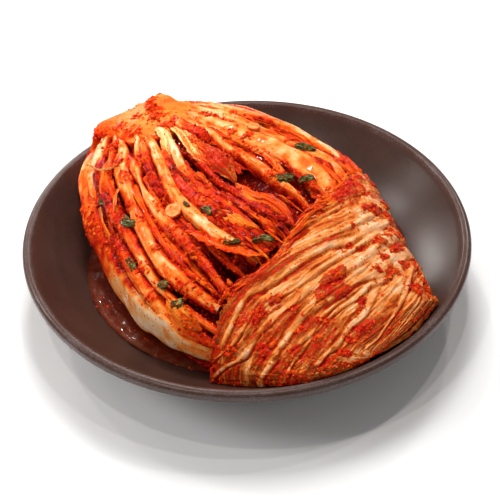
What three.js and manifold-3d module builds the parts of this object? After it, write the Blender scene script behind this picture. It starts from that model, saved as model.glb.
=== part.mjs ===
// Kimchi: half a head of pickled napa cabbage, heaped and folded in its own round dish.
// Millimetres, +Z up, origin on the table under the middle of the dish.
// The head lies across the dish. It is described along its own length, from the core end (minus) to the
// fold (plus), and by the turn round it in degrees: 0 on top, -90 at the left side, 90 at the right.
import * as THREE from 'three';
import { mergeVertices } from 'three/addons/utils/BufferGeometryUtils.js';
import Module from 'manifold-3d';

const wasm = await Module();
wasm.setup();

// Dish: a shallow coupe bowl on a low foot ring
const DISH_RADIUS = 140;
const RIM_HEIGHT = 44;
const LIP_THICKNESS = 6;
const LIP_HEIGHT = 6;
const LIP_ROUND = 1.5;
const FLOOR_HEIGHT = 9;
const FLOOR_RADIUS = 60;
const WALL_THICKNESS = 6.5;
const WALL_RISE = 2.2;
const FOOT_INNER = 65;
const FOOT_OUTER = 71;
const FOOT_HEIGHT = 3;
const FOOT_TAPER = 2;
const DISH_SEGMENTS = 56;

// Brine that has run out of the cabbage
const BRINE_HEIGHT = 18;
const BRINE_CLEARANCE = 2.6;
const BRINE_GAP = 0.6;

// Head of cabbage
const HEAD_TURN = -58.8;
const CORE_END = -127;
const FOLD_END = 133;
const LEFT_WIDTH = 90;
const RIGHT_WIDTH = 85;
const FOLD_RIGHT_WIDTH = 67;
const HEAD_TOP = 78;
const CORE_TOP = 68;
const FOLD_TOP = 47;
const LEFT_BELLY = 28;
const RIGHT_BELLY = 46;
const FOLD_RIGHT_BELLY = 30;
const HEAD_BOTTOM = 8;
const FLOOR_GAP = 0.8;
const BELLY_SINKS = [10, 105];

// How square the head is in plan at each end, in height along its length, and in cross-section
const LEFT_CORE_ROUND = 3;
const RIGHT_CORE_ROUND = 1.8;
const LEFT_FOLD_ROUND = 2.4;
const RIGHT_FOLD_ROUND = 6;
const CORE_DROP = 5;
const FOLD_DROP = 2.2;
const LEFT_SHOULDER = 2.2;
const RIGHT_SHOULDER = 3.4;
const FOLD_SHOULDER = 2.6;
const UNDERSIDE_ROUND = 0.83;

// Leaves
const LEAF_DEPTH = 11;
const RIB_CREST = 1.2;
// A section's corners stand out this much, so that its flats have the stated size
const CORNER = 1.08;
const WRAP_THICKNESS = 2.4;
const WRAP_LIFT = 1.2;
const VEIN_HEIGHT = 1.6;
const VEIN_WIDTH = 3.6;

const DISH_COLOR = 0x4b3630;
const BRINE_COLOR = 0x5c170a;
const PASTE_COLOR = 0xc23a14;
const CORE_COLOR = 0xee7a2c;
const PALE = 0xe9bd8d;
const ORANGE = 0xe3702b;
const RED = 0xc9421b;
const YELLOW = 0xd98a3a;
const WRAP_COLOR = 0xd9834a;
const GREEN_COLOR = 0x4d4f22;
const GARLIC_COLOR = 0xe2a35a;

const radians = THREE.MathUtils.degToRad;
const innerRadius = DISH_RADIUS - LIP_THICKNESS;
const innerTop = RIM_HEIGHT - LIP_ROUND;

// --- Surfaces ---------------------------------------------------------------------------------------

// Height of the dish wall's curve at a radius, from a level floor up to a rim
function bowlHeight(radius, floor, rimRadius, rimHeight) {
  const t = Math.max(0, (radius - FLOOR_RADIUS) / (rimRadius - FLOOR_RADIUS));
  return floor + (rimHeight - floor) * t ** WALL_RISE;
}

function insideHeight(radius) {
  return bowlHeight(radius, FLOOR_HEIGHT, innerRadius, innerTop);
}

// Falls from 1 to 0 as a superellipse does, so that an end of the head rounds off
function roundOff(t, power) {
  return (1 - Math.min(1, t) ** power) ** (1 / power);
}

// Half width of the head at a share of the way from its middle to one end. At the fold it stays in the dish.
function halfWidth(along, t, left, inset) {
  if (along < 0) {
    return ((left ? LEFT_WIDTH : RIGHT_WIDTH) - inset) * roundOff(t, left ? LEFT_CORE_ROUND : RIGHT_CORE_ROUND);
  }
  const inDish = Math.sqrt(Math.max(0, (innerRadius - 1) ** 2 - along ** 2));
  const right = FOLD_RIGHT_WIDTH + (RIGHT_WIDTH - FOLD_RIGHT_WIDTH) * (1 - t) ** 2;
  const width = left ? LEFT_WIDTH * roundOff(t, LEFT_FOLD_ROUND) : right * roundOff(t, RIGHT_FOLD_ROUND);
  return Math.max(0, Math.min(width, inDish) - inset);
}

// A point of the head's outside. inset takes that much off all round, and bare leaves out the dish below.
function outline(along, turn, inset = 0, bare = false) {
  const toFold = along > 0;
  const t = Math.min(1, along / (toFold ? FOLD_END - inset : CORE_END + inset));
  const left = turn < 0;
  const width = halfWidth(along, t, left, inset);
  const fullTop = toFold
    ? FOLD_TOP + (HEAD_TOP - FOLD_TOP) * (1 - t ** FOLD_DROP)
    : HEAD_TOP - (HEAD_TOP - CORE_TOP) * t ** CORE_DROP;
  const top = fullTop - inset;
  const towardsFold = THREE.MathUtils.smoothstep(along, ...BELLY_SINKS);
  const rightBelly = THREE.MathUtils.lerp(RIGHT_BELLY, FOLD_RIGHT_BELLY, towardsFold);
  const wallThere = insideHeight(Math.hypot(along, width)) + FLOOR_GAP;
  const belly = Math.min(Math.max(left ? LEFT_BELLY : rightBelly, wallThere + 2), top - 2);
  const corner = 2 / (left ? LEFT_SHOULDER : THREE.MathUtils.lerp(RIGHT_SHOULDER, FOLD_SHOULDER, towardsFold));
  const s = Math.abs(Math.sin(radians(turn)));
  const c = Math.cos(radians(turn));
  const across = Math.sign(turn) * width * s ** corner;
  let height = belly + (top - belly) * Math.max(0, c) ** corner;
  height -= (belly - HEAD_BOTTOM) * Math.max(0, -c) ** UNDERSIDE_ROUND;
  if (!bare) {
    height = Math.max(height, insideHeight(Math.hypot(along, across)) + FLOOR_GAP);
  }
  return new THREE.Vector3(along, across, height);
}

// Point and outward normal of the head's outside
function surface(along, turn) {
  const step = 0.5;
  const point = outline(along, turn);
  const ahead = outline(along + step, turn).sub(outline(along - step, turn));
  const round = outline(along, turn + step).sub(outline(along, turn - step));
  const normal = new THREE.Vector3().crossVectors(ahead, round).normalize();
  return { point, normal };
}

// --- Meshes from rings and grids --------------------------------------------------------------------

function geometryFrom(points, faces) {
  const geometry = new THREE.BufferGeometry();
  const numbers = points.flatMap((p) => [p.x, p.y, p.z]);
  geometry.setAttribute('position', new THREE.Float32BufferAttribute(numbers, 3));
  geometry.setIndex(faces);
  return geometry;
}

function middleOf(ring) {
  const sum = new THREE.Vector3();
  ring.forEach((p) => sum.add(p));
  return sum.divideScalar(ring.length);
}

// Closed body through rings of equal count that turn clockwise as seen from the last ring
function skin(rings) {
  const count = rings[0].length;
  const points = rings.flat();
  const faces = [];
  for (let i = 0; i < rings.length - 1; i += 1) {
    for (let j = 0; j < count; j += 1) {
      const a = i * count + j;
      const b = i * count + ((j + 1) % count);
      faces.push(a, b, a + count, b, b + count, a + count);
    }
  }
  const first = points.length;
  points.push(middleOf(rings[0]), middleOf(rings.at(-1)));
  const start = (rings.length - 1) * count;
  for (let j = 0; j < count; j += 1) {
    const next = (j + 1) % count;
    faces.push(first, next, j);
    faces.push(first + 1, start + j, start + next);
  }
  return geometryFrom(points, faces);
}

// Closed sheet between two grids of rows, upper on the outside, both split alike
function sheet(rows, columns, upperAt, lowerAt) {
  const points = [];
  for (const at of [upperAt, lowerAt]) {
    for (let i = 0; i <= rows; i += 1) {
      for (let j = 0; j <= columns; j += 1) {
        points.push(at(i / rows, j / columns));
      }
    }
  }
  const row = columns + 1;
  const under = (rows + 1) * row;
  const faces = [];
  for (let i = 0; i < rows; i += 1) {
    for (let j = 0; j < columns; j += 1) {
      const a = i * row + j;
      faces.push(a, a + row, a + 1, a + 1, a + row, a + row + 1);
      const b = under + a;
      faces.push(b, b + 1, b + row, b + 1, b + row + 1, b + row);
    }
  }
  const rim = [];
  for (let j = 0; j < columns; j += 1) rim.push(j);
  for (let i = 0; i < rows; i += 1) rim.push(i * row + columns);
  for (let j = columns; j > 0; j -= 1) rim.push(rows * row + j);
  for (let i = rows; i > 0; i -= 1) rim.push(i * row);
  rim.forEach((a, k) => {
    const b = rim[(k + 1) % rim.length];
    faces.push(a, b, under + a, b, under + b, under + a);
  });
  return geometryFrom(points, faces);
}

function solidFrom(geometry) {
  const bare = geometry.clone();
  bare.deleteAttribute('normal');
  bare.deleteAttribute('uv');
  const merged = mergeVertices(bare, 1e-4);
  return new wasm.Manifold(new wasm.Mesh({
    numProp: 3,
    vertProperties: new Float32Array(merged.attributes.position.array),
    triVerts: new Uint32Array(merged.index.array),
  }));
}

function geometryOf(solid) {
  const mesh = solid.getMesh();
  const geometry = new THREE.BufferGeometry();
  geometry.setAttribute('position', new THREE.BufferAttribute(new Float32Array(mesh.vertProperties), 3));
  geometry.setIndex(new THREE.BufferAttribute(new Uint32Array(mesh.triVerts), 1));
  return geometry;
}

const object = new THREE.Group();
const head = new THREE.Group();
head.rotation.z = radians(HEAD_TURN);
object.add(head);

function piece(group, name, geometry, color, roughness) {
  const mesh = new THREE.Mesh(geometry, new THREE.MeshStandardMaterial({ color, roughness, metalness: 0 }));
  mesh.name = name;
  group.add(mesh);
  return mesh;
}

// --- Dish -------------------------------------------------------------------------------------------

const lipBottom = RIM_HEIGHT - LIP_HEIGHT;
const undersideFloor = FLOOR_HEIGHT - WALL_THICKNESS;
const wallTop = DISH_RADIUS - 1;
const WALL_STEPS = 6;

const profile = [
  new THREE.Vector2(0, FOOT_HEIGHT),
  new THREE.Vector2(FOOT_INNER - FOOT_TAPER, FOOT_HEIGHT),
  new THREE.Vector2(FOOT_INNER, 0),
  new THREE.Vector2(FOOT_OUTER, 0),
];
for (let i = 0; i <= WALL_STEPS; i += 1) {
  const radius = THREE.MathUtils.lerp(FOOT_OUTER + FOOT_TAPER, wallTop, i / WALL_STEPS);
  profile.push(new THREE.Vector2(radius, bowlHeight(radius, undersideFloor, wallTop, lipBottom)));
}
profile.push(new THREE.Vector2(DISH_RADIUS, lipBottom + 1));
profile.push(new THREE.Vector2(DISH_RADIUS, RIM_HEIGHT - LIP_ROUND));
profile.push(new THREE.Vector2(DISH_RADIUS - LIP_ROUND, RIM_HEIGHT));
profile.push(new THREE.Vector2(innerRadius + LIP_ROUND, RIM_HEIGHT));
for (let i = 0; i <= WALL_STEPS; i += 1) {
  const radius = THREE.MathUtils.lerp(innerRadius, FLOOR_RADIUS, i / WALL_STEPS);
  profile.push(new THREE.Vector2(radius, insideHeight(radius)));
}
profile.push(new THREE.Vector2(0, FLOOR_HEIGHT));

const dish = piece(object, 'dish', new THREE.LatheGeometry(profile, DISH_SEGMENTS), DISH_COLOR, 0.45);
dish.rotation.x = Math.PI / 2;

// --- Leaves under the ribs, a loaf of shredded leaf and chilli paste ----------------------------------

const BED_RINGS = 22;
const BED_SIDES = 28;

// Shallow hollows between the lumps of paste
function pasteHollow(along, turn) {
  return 1.1 * (1 + Math.sin(along * 0.23 + turn * 0.05) * Math.cos(turn * 0.17 - along * 0.06));
}

// Full depth of the ribs on top and at the sides, nothing underneath
function bedInset(turn) {
  return THREE.MathUtils.lerp(LEAF_DEPTH, 1, THREE.MathUtils.smoothstep(Math.abs(turn), 104, 124));
}

function loaf(rings, sides, pointAt, coreEnd, foldEnd) {
  const list = [];
  for (let i = 0; i <= rings; i += 1) {
    const along = THREE.MathUtils.lerp(coreEnd, foldEnd, (1 - Math.cos((Math.PI * i) / rings)) / 2);
    const ring = [];
    for (let j = 0; j < sides; j += 1) {
      ring.push(pointAt(along, 180 - (360 * (j + 0.5)) / sides));
    }
    list.push(ring);
  }
  return skin(list);
}

function bedPoint(along, turn) {
  return outline(along, turn, bedInset(turn) + pasteHollow(along, turn));
}

piece(head, 'leaf_bed', loaf(BED_RINGS, BED_SIDES, bedPoint, CORE_END + 15, FOLD_END - 15), PASTE_COLOR, 0.5);

// --- Brine, two crescents of it at the sides of the head ----------------------------------------------

const BRINE_STEPS = 4;
const wallShare = (BRINE_HEIGHT - BRINE_GAP - FLOOR_HEIGHT) / (innerTop - FLOOR_HEIGHT);
const brineRadius = FLOOR_RADIUS + (innerRadius - FLOOR_RADIUS) * wallShare ** (1 / WALL_RISE);
const brineProfile = [new THREE.Vector2(0, FLOOR_HEIGHT + BRINE_GAP)];
for (let i = 0; i <= BRINE_STEPS; i += 1) {
  const radius = THREE.MathUtils.lerp(FLOOR_RADIUS, brineRadius, i / BRINE_STEPS);
  brineProfile.push(new THREE.Vector2(radius, insideHeight(radius) + BRINE_GAP));
}
brineProfile.push(new THREE.Vector2(0, BRINE_HEIGHT));
const pool = new THREE.LatheGeometry(brineProfile, DISH_SEGMENTS);
pool.rotateX(Math.PI / 2);

function clearOfHead(along, turn) {
  return outline(along, turn, -BRINE_CLEARANCE, true);
}

const hollow = loaf(BED_RINGS, BED_SIDES, clearOfHead, CORE_END - 2, FOLD_END + 2);
hollow.translate(0, 0, -1);
const pools = solidFrom(pool).subtract(solidFrom(hollow)).decompose();
pools.sort((a, b) => b.volume() - a.volume());
piece(head, 'brine_left', geometryOf(pools[0]), BRINE_COLOR, 0.1);
piece(head, 'brine_right', geometryOf(pools[1]), BRINE_COLOR, 0.1);

// --- Leaf ribs: thick pale stalks that fan from the core to the fold ---------------------------------

const RIB_STEPS = 12;
const RIB_SIDES = 8;
const TIP_TAPER = 0.45;
const TIP_DIP = 3.5;

// One rib along a route of [along, turn, half width], its crest on the head's outside. Both ends taper,
// and the fold end dips to pass under the folded leaf.
function rib(route, thickness) {
  const curve = new THREE.CatmullRomCurve3(route.map((stop) => new THREE.Vector3(...stop)));
  const rings = [];
  for (let i = 0; i <= RIB_STEPS; i += 1) {
    const u = i / RIB_STEPS;
    const at = curve.getPoint(u);
    const before = curve.getPoint(Math.max(0, u - 0.01));
    const after = curve.getPoint(Math.min(1, u + 0.01));
    const { point, normal } = surface(at.x, at.y);
    const ahead = surface(after.x, after.y).point.sub(surface(before.x, before.y).point).normalize();
    const across = new THREE.Vector3().crossVectors(normal, ahead).normalize();
    const taper = THREE.MathUtils.lerp(TIP_TAPER, 1, Math.min(1, 5 * u, 5 * (1 - u)));
    const dip = TIP_DIP * Math.max(0, 5 * u - 4) ** 2;
    const half = (thickness / 2) * taper;
    const middle = point.clone().addScaledVector(normal, -thickness / 2 - dip);
    const ring = [];
    for (let j = 0; j < RIB_SIDES; j += 1) {
      const angle = (2 * Math.PI * (j + 0.5)) / RIB_SIDES;
      const rise = Math.sin(angle) > 0 ? half + RIB_CREST : half;
      ring.push(middle.clone()
        .addScaledVector(across, CORNER * at.z * taper * Math.cos(angle))
        .addScaledVector(normal, CORNER * rise * Math.sin(angle)));
    }
    rings.push(ring);
  }
  return skin(rings);
}

// Each rib as its name, colour, thickness and route
const RIBS = [
  ['rib_outer_left', PALE, 9.6, [
    [-106, -54, 5.5], [-79, -62, 6], [-38, -79, 7], [3, -89, 8], [40, -86, 8.5], [78, -79, 7.6],
  ]],
  ['rib_left_low', ORANGE, 8, [
    [-30, -64, 3.6], [-8, -66, 3.8], [20, -68, 3.8], [50, -69, 3.8], [78, -66, 3.4],
  ]],
  ['rib_left_high', RED, 8, [
    [-94, -41, 3.6], [-74, -48, 3.6], [-52, -53, 3.4], [-10, -57, 3.2], [26, -59, 3.2], [73, -56, 3.4],
  ]],
  ['rib_pale_broad', PALE, 9.6, [
    [-88, -27, 4], [-67, -37, 4.4], [-23, -46, 4.4], [20, -49, 4.6], [64, -44, 4.8],
  ]],
  ['rib_orange_long', ORANGE, 9, [
    [-72, -28, 3], [-50, -32, 3.6], [-12, -35, 4.2], [20, -33, 4.4], [62, -34, 4.4],
  ]],
  ['rib_red_short', RED, 8, [
    [-80, -19, 2.6], [-60, -24, 2.6], [-40, -27.5, 2.6], [-18, -29, 2.6],
  ]],
  ['rib_pale_long', PALE, 9, [
    [-76, -13, 3.4], [-52, -20, 3.7], [-17, -24, 3.9], [16, -22, 4], [54, -14, 3.6],
  ]],
  ['rib_heart_low', RED, 8, [
    [-46, -17, 2.6], [-20, -18, 2.7], [11, -15.5, 2.8], [52, -9, 2.6],
  ]],
  ['rib_heart', YELLOW, 8, [
    [-75, -7, 3], [-36, -13, 3.4], [-8, -12, 3.2], [50, -5, 3],
  ]],
  ['rib_shred_top', YELLOW, 8, [
    [-67, -1, 3.6], [-52, -1, 4], [-38, -0.5, 4], [-15, 0, 3.4],
  ]],
  ['rib_shred_low', RED, 8, [
    [-40, -6, 3], [-11, -6, 4], [8, -3, 4], [44, 1, 3.6],
  ]],
  ['rib_bright_edge', ORANGE, 8, [
    [-58, 1.6, 2.6], [-36, 2.4, 3], [-12, 4, 3.2], [13, 4.6, 3.2], [42, 9, 3],
  ]],
  ['rib_slab', PALE, 9.6, [
    [-68, 5, 6], [-50, 8, 7.5], [-32, 11, 8.2], [-9, 16, 8.2], [22, 20, 7.5], [42, 27, 6],
  ]],
  ['rib_top_orange', ORANGE, 9, [
    [-78, 13, 4], [-56, 20, 4.8], [-33, 25, 5], [4, 39, 5], [36, 44, 4.6],
  ]],
  ['rib_far_edge', PALE, 9, [
    [-82, 27, 4], [-62, 36, 4.5], [-43, 45, 4.6], [-11, 54, 4.6], [36, 60, 4.6],
  ]],
  ['rib_back_high', PALE, 8, [
    [-92, 52, 5], [-72, 66, 6], [-40, 76, 6.6], [0, 82, 7], [36, 82, 7],
  ]],
  ['rib_back_low', ORANGE, 8, [
    [-90, 80, 6], [-60, 95, 7.5], [-20, 103, 8], [34, 104, 8],
  ]],
];

for (const [name, color, thickness, route] of RIBS) {
  piece(head, name, rib(route, thickness), color, 0.4);
}

// --- Curves that give a place along the head for a turn round it ---------------------------------------

function alongAt(pairs) {
  const curve = new THREE.CubicInterpolant(pairs.map(([turn]) => turn), pairs.map(([, along]) => along), 1);
  return (turn) => curve.evaluate(turn)[0];
}

// The lift from the head's outside, kept above the dish
function restingOn(along, turn, lift) {
  const { point, normal } = surface(along, turn);
  point.addScaledVector(normal, lift);
  point.z = Math.max(point.z, insideHeight(Math.hypot(point.x, point.y)) + FLOOR_GAP);
  return { point, normal };
}

// --- Core: the smooth cut base where all leaves meet ---------------------------------------------------

const CORE_TURN = 66;
const CORE_DEPTH = 9;
const coreFront = alongAt([
  [-66, -119], [-48, -107], [-28, -96], [-17, -88], [-6, -82], [4, -77], [14, -82], [24, -88], [36, -95],
  [50, -106], [66, -118],
]);

function coreAt(i, j) {
  const turn = THREE.MathUtils.lerp(-CORE_TURN, CORE_TURN, j);
  return [THREE.MathUtils.lerp(CORE_END + 2, coreFront(turn), i), turn];
}

function coreTop(i, j) {
  const [along, turn] = coreAt(i, j);
  return restingOn(along, turn, Math.sin(turn * 0.11) * Math.sin(along * 0.2)).point;
}

function coreUnder(i, j) {
  const [along, turn] = coreAt(i, j);
  return restingOn(along, turn, -CORE_DEPTH).point;
}

piece(head, 'stem_core', sheet(5, 14, coreTop, coreUnder), CORE_COLOR, 0.35);

// --- Wrap: the outer leaf folded over the far half, its veins fanning across it -------------------------

const WRAP_ROWS = 24;
const WRAP_COLUMNS = 28;
const WRAP_TURN = 112;
const TIP_CLOSING = 0.75;
const wrapEdge = alongAt([
  [-112, 86], [-84, 84], [-69, 82], [-57, 75], [-48, 70], [-39, 66], [-18, 63], [-7, 59], [3, 50], [11, 46],
  [24, 43], [43, 41], [70, 40], [112, 44],
]);
const VEINS = [
  [[-112, 92], [-70, 82], [-41, 72], [-15, 66], [9, 64], [55, 60], [112, 58]],
  [[-112, 100], [-70, 94], [-43, 93], [-22, 89], [6, 79], [49, 72], [112, 66]],
  [[-112, 112], [-64, 108], [-37, 104], [-18, 99], [11, 89], [64, 78], [112, 74]],
  [[-112, 124], [-60, 122], [-22, 118], [10, 107], [44, 94], [80, 86], [112, 84]],
  [[-112, 130], [-30, 128], [4, 123], [36, 113], [70, 96], [112, 92]],
].map(alongAt);

function veinHeight(along, turn) {
  const heights = VEINS.map((vein) => VEIN_HEIGHT * Math.exp(-(((along - vein(turn)) / VEIN_WIDTH) ** 2)));
  return Math.max(...heights);
}

// The sheet closes in on the tip of the fold
function wrapPoint(i, j, thickness) {
  const turn = THREE.MathUtils.lerp(-WRAP_TURN, WRAP_TURN, j);
  const edge = wrapEdge(turn);
  const along = edge + (FOLD_END - 1.2 - edge) * Math.sin((i * Math.PI) / 2);
  const { point, normal } = restingOn(along, turn, WRAP_LIFT + veinHeight(along, turn));
  const thinning = THREE.MathUtils.lerp(1, 0.6, THREE.MathUtils.smoothstep(i, 0.7, 1));
  point.addScaledVector(normal, -thickness * thinning);
  const tip = new THREE.Vector3(FOLD_END - thickness, 0, FOLD_TOP - 2);
  return point.lerp(tip, TIP_CLOSING * THREE.MathUtils.smoothstep(i, 0.84, 1));
}

const wrapTop = (i, j) => wrapPoint(i, j, 0);
const wrapUnder = (i, j) => wrapPoint(i, j, WRAP_THICKNESS);
const wrap = sheet(WRAP_ROWS, WRAP_COLUMNS, wrapTop, wrapUnder);
piece(head, 'wrap_leaf', wrap, WRAP_COLOR, 0.45);

// --- Scallion leaves and garlic slices on top -----------------------------------------------------------

const TOPPING_LIFT = 2.8;
const GREEN_THICKNESS = 0.9;
const GREEN_WAVE = 0.5;

// A frame on the head's outside, its X axis turned by spin from the head's length
function place(along, turn, spin, lift) {
  const { point, normal } = surface(along, turn);
  const ahead = new THREE.Vector3(1, 0, 0).projectOnPlane(normal).normalize();
  ahead.applyAxisAngle(normal, radians(spin));
  const across = new THREE.Vector3().crossVectors(normal, ahead);
  const frame = new THREE.Matrix4().makeBasis(ahead, across, normal);
  return frame.setPosition(point.addScaledVector(normal, lift));
}

function green(length, width) {
  const at = (height) => (i, j) => {
    const taper = 1 - 0.35 * (2 * i - 1) ** 2;
    return new THREE.Vector3(
      (i - 0.5) * length,
      (0.5 - j) * -width * taper,
      GREEN_WAVE * Math.sin(7 * i) * Math.cos(3 * j) + height,
    );
  };
  return sheet(4, 2, at(GREEN_THICKNESS / 2), at(-GREEN_THICKNESS / 2));
}

// Each scallion leaf as [along, turn, spin, length, width]
const GREENS = [
  [-57, -56, 20, 9, 5], [-27, -50, 25, 14, 8], [-2, -64, -5, 13, 5], [29, -56, 30, 8, 7], [45, -58, 40, 9, 8],
  [6, -18, 10, 9, 6], [-7, -23, 5, 7, 4], [36, -19, 55, 11, 4], [45, -9, 60, 13, 5], [-13, 31, 40, 14, 9],
  [8, 8, 60, 12, 8], [16, 15, 80, 11, 6],
];
GREENS.forEach(([along, turn, spin, length, width], i) => {
  const leaf = green(length, width).applyMatrix4(place(along, turn, spin, TOPPING_LIFT));
  piece(head, `scallion_${i + 1}`, leaf, GREEN_COLOR, 0.35);
});

// Each garlic slice as [along, turn, radius]
const GARLIC_THICKNESS = 1.8;
const GARLICS = [[-9, -29, 5.5], [-45, 17, 4]];
GARLICS.forEach(([along, turn, radius], i) => {
  const slice = new THREE.CylinderGeometry(radius * 0.94, radius, GARLIC_THICKNESS, 14);
  slice.rotateX(Math.PI / 2);
  slice.applyMatrix4(place(along, turn, 0, TOPPING_LIFT));
  piece(head, `garlic_${i + 1}`, slice, GARLIC_COLOR, 0.35);
});

export default object;
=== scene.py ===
import math

import bmesh
import bpy
import numpy as np
from mathutils import Matrix, Vector


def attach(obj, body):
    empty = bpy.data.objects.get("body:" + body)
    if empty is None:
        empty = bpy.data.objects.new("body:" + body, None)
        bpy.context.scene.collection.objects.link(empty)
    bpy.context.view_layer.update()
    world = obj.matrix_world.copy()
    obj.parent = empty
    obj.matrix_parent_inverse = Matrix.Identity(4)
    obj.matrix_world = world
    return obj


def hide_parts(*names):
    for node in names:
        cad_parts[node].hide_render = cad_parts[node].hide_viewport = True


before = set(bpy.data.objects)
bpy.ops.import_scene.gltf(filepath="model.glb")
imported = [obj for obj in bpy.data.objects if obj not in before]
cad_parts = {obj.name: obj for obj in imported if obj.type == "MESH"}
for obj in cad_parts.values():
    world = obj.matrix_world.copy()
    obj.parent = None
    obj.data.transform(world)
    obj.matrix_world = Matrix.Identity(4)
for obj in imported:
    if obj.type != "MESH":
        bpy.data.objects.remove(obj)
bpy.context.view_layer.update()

# --- Camera -----------------------------------------------------------------------------------------
# A 90 mm lens stands in front of the dish, some 42 degrees above the table, and leans to the left a little.

LOOK_AT = Vector((0.0, 0.0, 0.030))
DISTANCE = 0.7933
ELEVATION = math.radians(41.59)
LEAN = -1.808


def new_object(name, data):
    """A new object in the scene."""
    made = bpy.data.objects.new(name, data)
    bpy.context.scene.collection.objects.link(made)
    return made


def point_along(thing, way, roll):
    """Points a camera or a light along a way, rolled by some degrees."""
    rolled = Matrix.Rotation(math.radians(roll), 3, "Z").to_quaternion()
    thing.rotation_mode = "QUATERNION"
    thing.rotation_quaternion = way.to_track_quat("-Z", "Y") @ rolled


camera_data = bpy.data.cameras.new("camera")
camera_data.lens = 90
camera_data.sensor_width = 36
camera_data.shift_x = 0.0063
camera_data.shift_y = -0.0108
camera = new_object("camera", camera_data)
back = Vector((0.0, -math.cos(ELEVATION), math.sin(ELEVATION)))
camera.location = LOOK_AT + back * DISTANCE
point_along(camera, -back, LEAN)
bpy.context.scene.camera = camera

# --- Studio -----------------------------------------------------------------------------------------
# A pale floor between pale walls. One soft light high behind the dish and weaker ones at its left and front
# light it. Six small warm lamps, a strip and a small panel make the crisp glints on what is wet.

WHITE = (1.0, 1.0, 1.0)
WARM_WHITE = (1.0, 0.95, 0.91)
FLOOR_REACH = 6
FLOOR_TONES = [(0.0, (244, 244, 244)), (1.0, (250, 250, 250))]
WALL_LIGHT = 0.19


def tint(red, green, blue):
    """A screen colour of 0 to 255 as the linear colour that a material takes."""
    return (*(((c / 255 + 0.055) / 1.055) ** 2.4 if c > 10 else c / 3294.6 for c in (red, green, blue)), 1.0)


def add(tree, kind, values=None, **settings):
    """A new shader node with its settings and the values of its sockets."""
    made = tree.nodes.new("ShaderNode" + kind)
    for name, value in settings.items():
        setattr(made, name, value)
    for socket, value in (values or {}).items():
        made.inputs[socket].default_value = value
    return made


def ramp(tree, tones):
    """A colour ramp through tones, each its place from 0 to 1 and its colour."""
    made = add(tree, "ValToRGB")
    stops = made.color_ramp.elements
    while len(stops) < len(tones):
        stops.new(0.5)
    for stop, (place, colour) in zip(stops, tones):
        stop.position = place
        stop.color = tint(*colour)
    return made


def new_material(name, shader_values):
    """A material with one Principled shader, as its node tree, that shader and its object coordinates."""
    material = bpy.data.materials.new(name)
    material.use_nodes = True
    tree = material.node_tree
    shader = tree.nodes["Principled BSDF"]
    for socket, value in shader_values.items():
        shader.inputs[socket].default_value = value
    return material, tree, shader, add(tree, "TexCoord").outputs["Object"]


corners = [(x * FLOOR_REACH, y * FLOOR_REACH, 0) for x, y in ((-1, -1), (1, -1), (1, 1), (-1, 1))]
floor_mesh = bpy.data.meshes.new("floor")
floor_mesh.from_pydata(corners, [], [(0, 1, 2, 3)])
floor_finish, tree, shader, coords = new_material(
    "floor_finish", {"Roughness": 0.9, "Specular IOR Level": 0.1}
)
floor_grain = add(tree, "TexNoise", {"Scale": 3.0, "Detail": 2.0})
floor_ramp = ramp(tree, FLOOR_TONES)
tree.links.new(coords, floor_grain.inputs["Vector"])
tree.links.new(floor_grain.outputs["Fac"], floor_ramp.inputs["Fac"])
tree.links.new(floor_ramp.outputs["Color"], shader.inputs["Base Color"])
floor_mesh.materials.append(floor_finish)
floor = new_object("floor", floor_mesh)


def soft_light(name, place, width, height, power, roll=0.0, shine=True, aim=(0.05, 0, 0.03)):
    """A soft light, its sides in metres, its power in watts and its roll in degrees. With shine it is warm
    and makes a glint. Without, it is white and makes none."""
    data = bpy.data.lights.new(name, "AREA")
    data.shape = "RECTANGLE"
    data.size = width
    data.size_y = height
    data.energy = power
    data.color = WARM_WHITE if shine else WHITE
    light = new_object(name, data)
    light.location = place
    light.visible_glossy = shine
    point_along(light, Vector(aim) - Vector(place), roll)


soft_light("light_key", (0.00, 0.55, 1.1), 0.4, 0.4, 10.3, shine=False)
soft_light("light_strip", (-0.42, 0.82, 0.33), 0.11, 0.42, 1.7, roll=-38)
soft_light("light_left", (-0.80, 0.45, 0.66), 0.15, 0.10, 0.6)
soft_light("light_side", (-0.95, -0.08, 0.65), 0.4, 0.4, 5.0, shine=False)
soft_light("light_front", (0.5, -1.1, 0.9), 0.8, 0.8, 1.8, shine=False)
LAMPS = [
    (-0.35, -0.1, 1.2), (0.45, 0.35, 1.15), (-0.1, 0.8, 0.9), (-0.7, 0.6, 0.9), (0.1, 0.1, 1.3),
    (0.5, 0.9, 0.8),
]
LAMP_SIDE = 0.045
LAMP_POWER = 1.45
for number, place in enumerate(LAMPS):
    soft_light(f"lamp_{number + 1}", place, LAMP_SIDE, LAMP_SIDE, LAMP_POWER)

world = bpy.data.worlds.new("pale_walls")
world.use_nodes = True
walls = world.node_tree.nodes["Background"]
walls.inputs["Color"].default_value = (*WHITE, 1.0)
walls.inputs["Strength"].default_value = WALL_LIGHT
world.cycles_visibility.glossy = False
bpy.context.scene.world = world
bpy.context.scene.view_settings.view_transform = "Standard"

# --- Dish -------------------------------------------------------------------------------------------
# Thrown stoneware, a shallow coupe 280 mm across on a low foot ring, with a thick square lip and a satin
# brown-black glaze. The glaze is finely grained. Along the lip and outside it is painted paler and greyer, a
# painted sheen for the light that the glaze reflects there.

DISH_INNER = 134.0
FLOOR_RADIUS = 60.0
FLOOR_HEIGHT = 9.0
INNER_TOP = 42.5
UNDERSIDE_RADIUS = 139.0
UNDERSIDE_HEIGHT = 2.5
LIP_BOTTOM = 38.0
WALL_CURVE = 2.2
DISH_SIDES = 180
# The palest tone, a blue-grey, is reached only where the painted sheen is added.
GLAZE_TONES = [(0.30, (34, 19, 14)), (0.72, (78, 54, 46)), (1.0, (150, 142, 150))]
# How far the painted sheen pales the glaze inside the dish, along its lip and outside
INSIDE_PAINTED_SHEEN, LIP_PAINTED_SHEEN, OUTSIDE_PAINTED_SHEEN = 0.0, 0.16, 0.1


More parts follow.
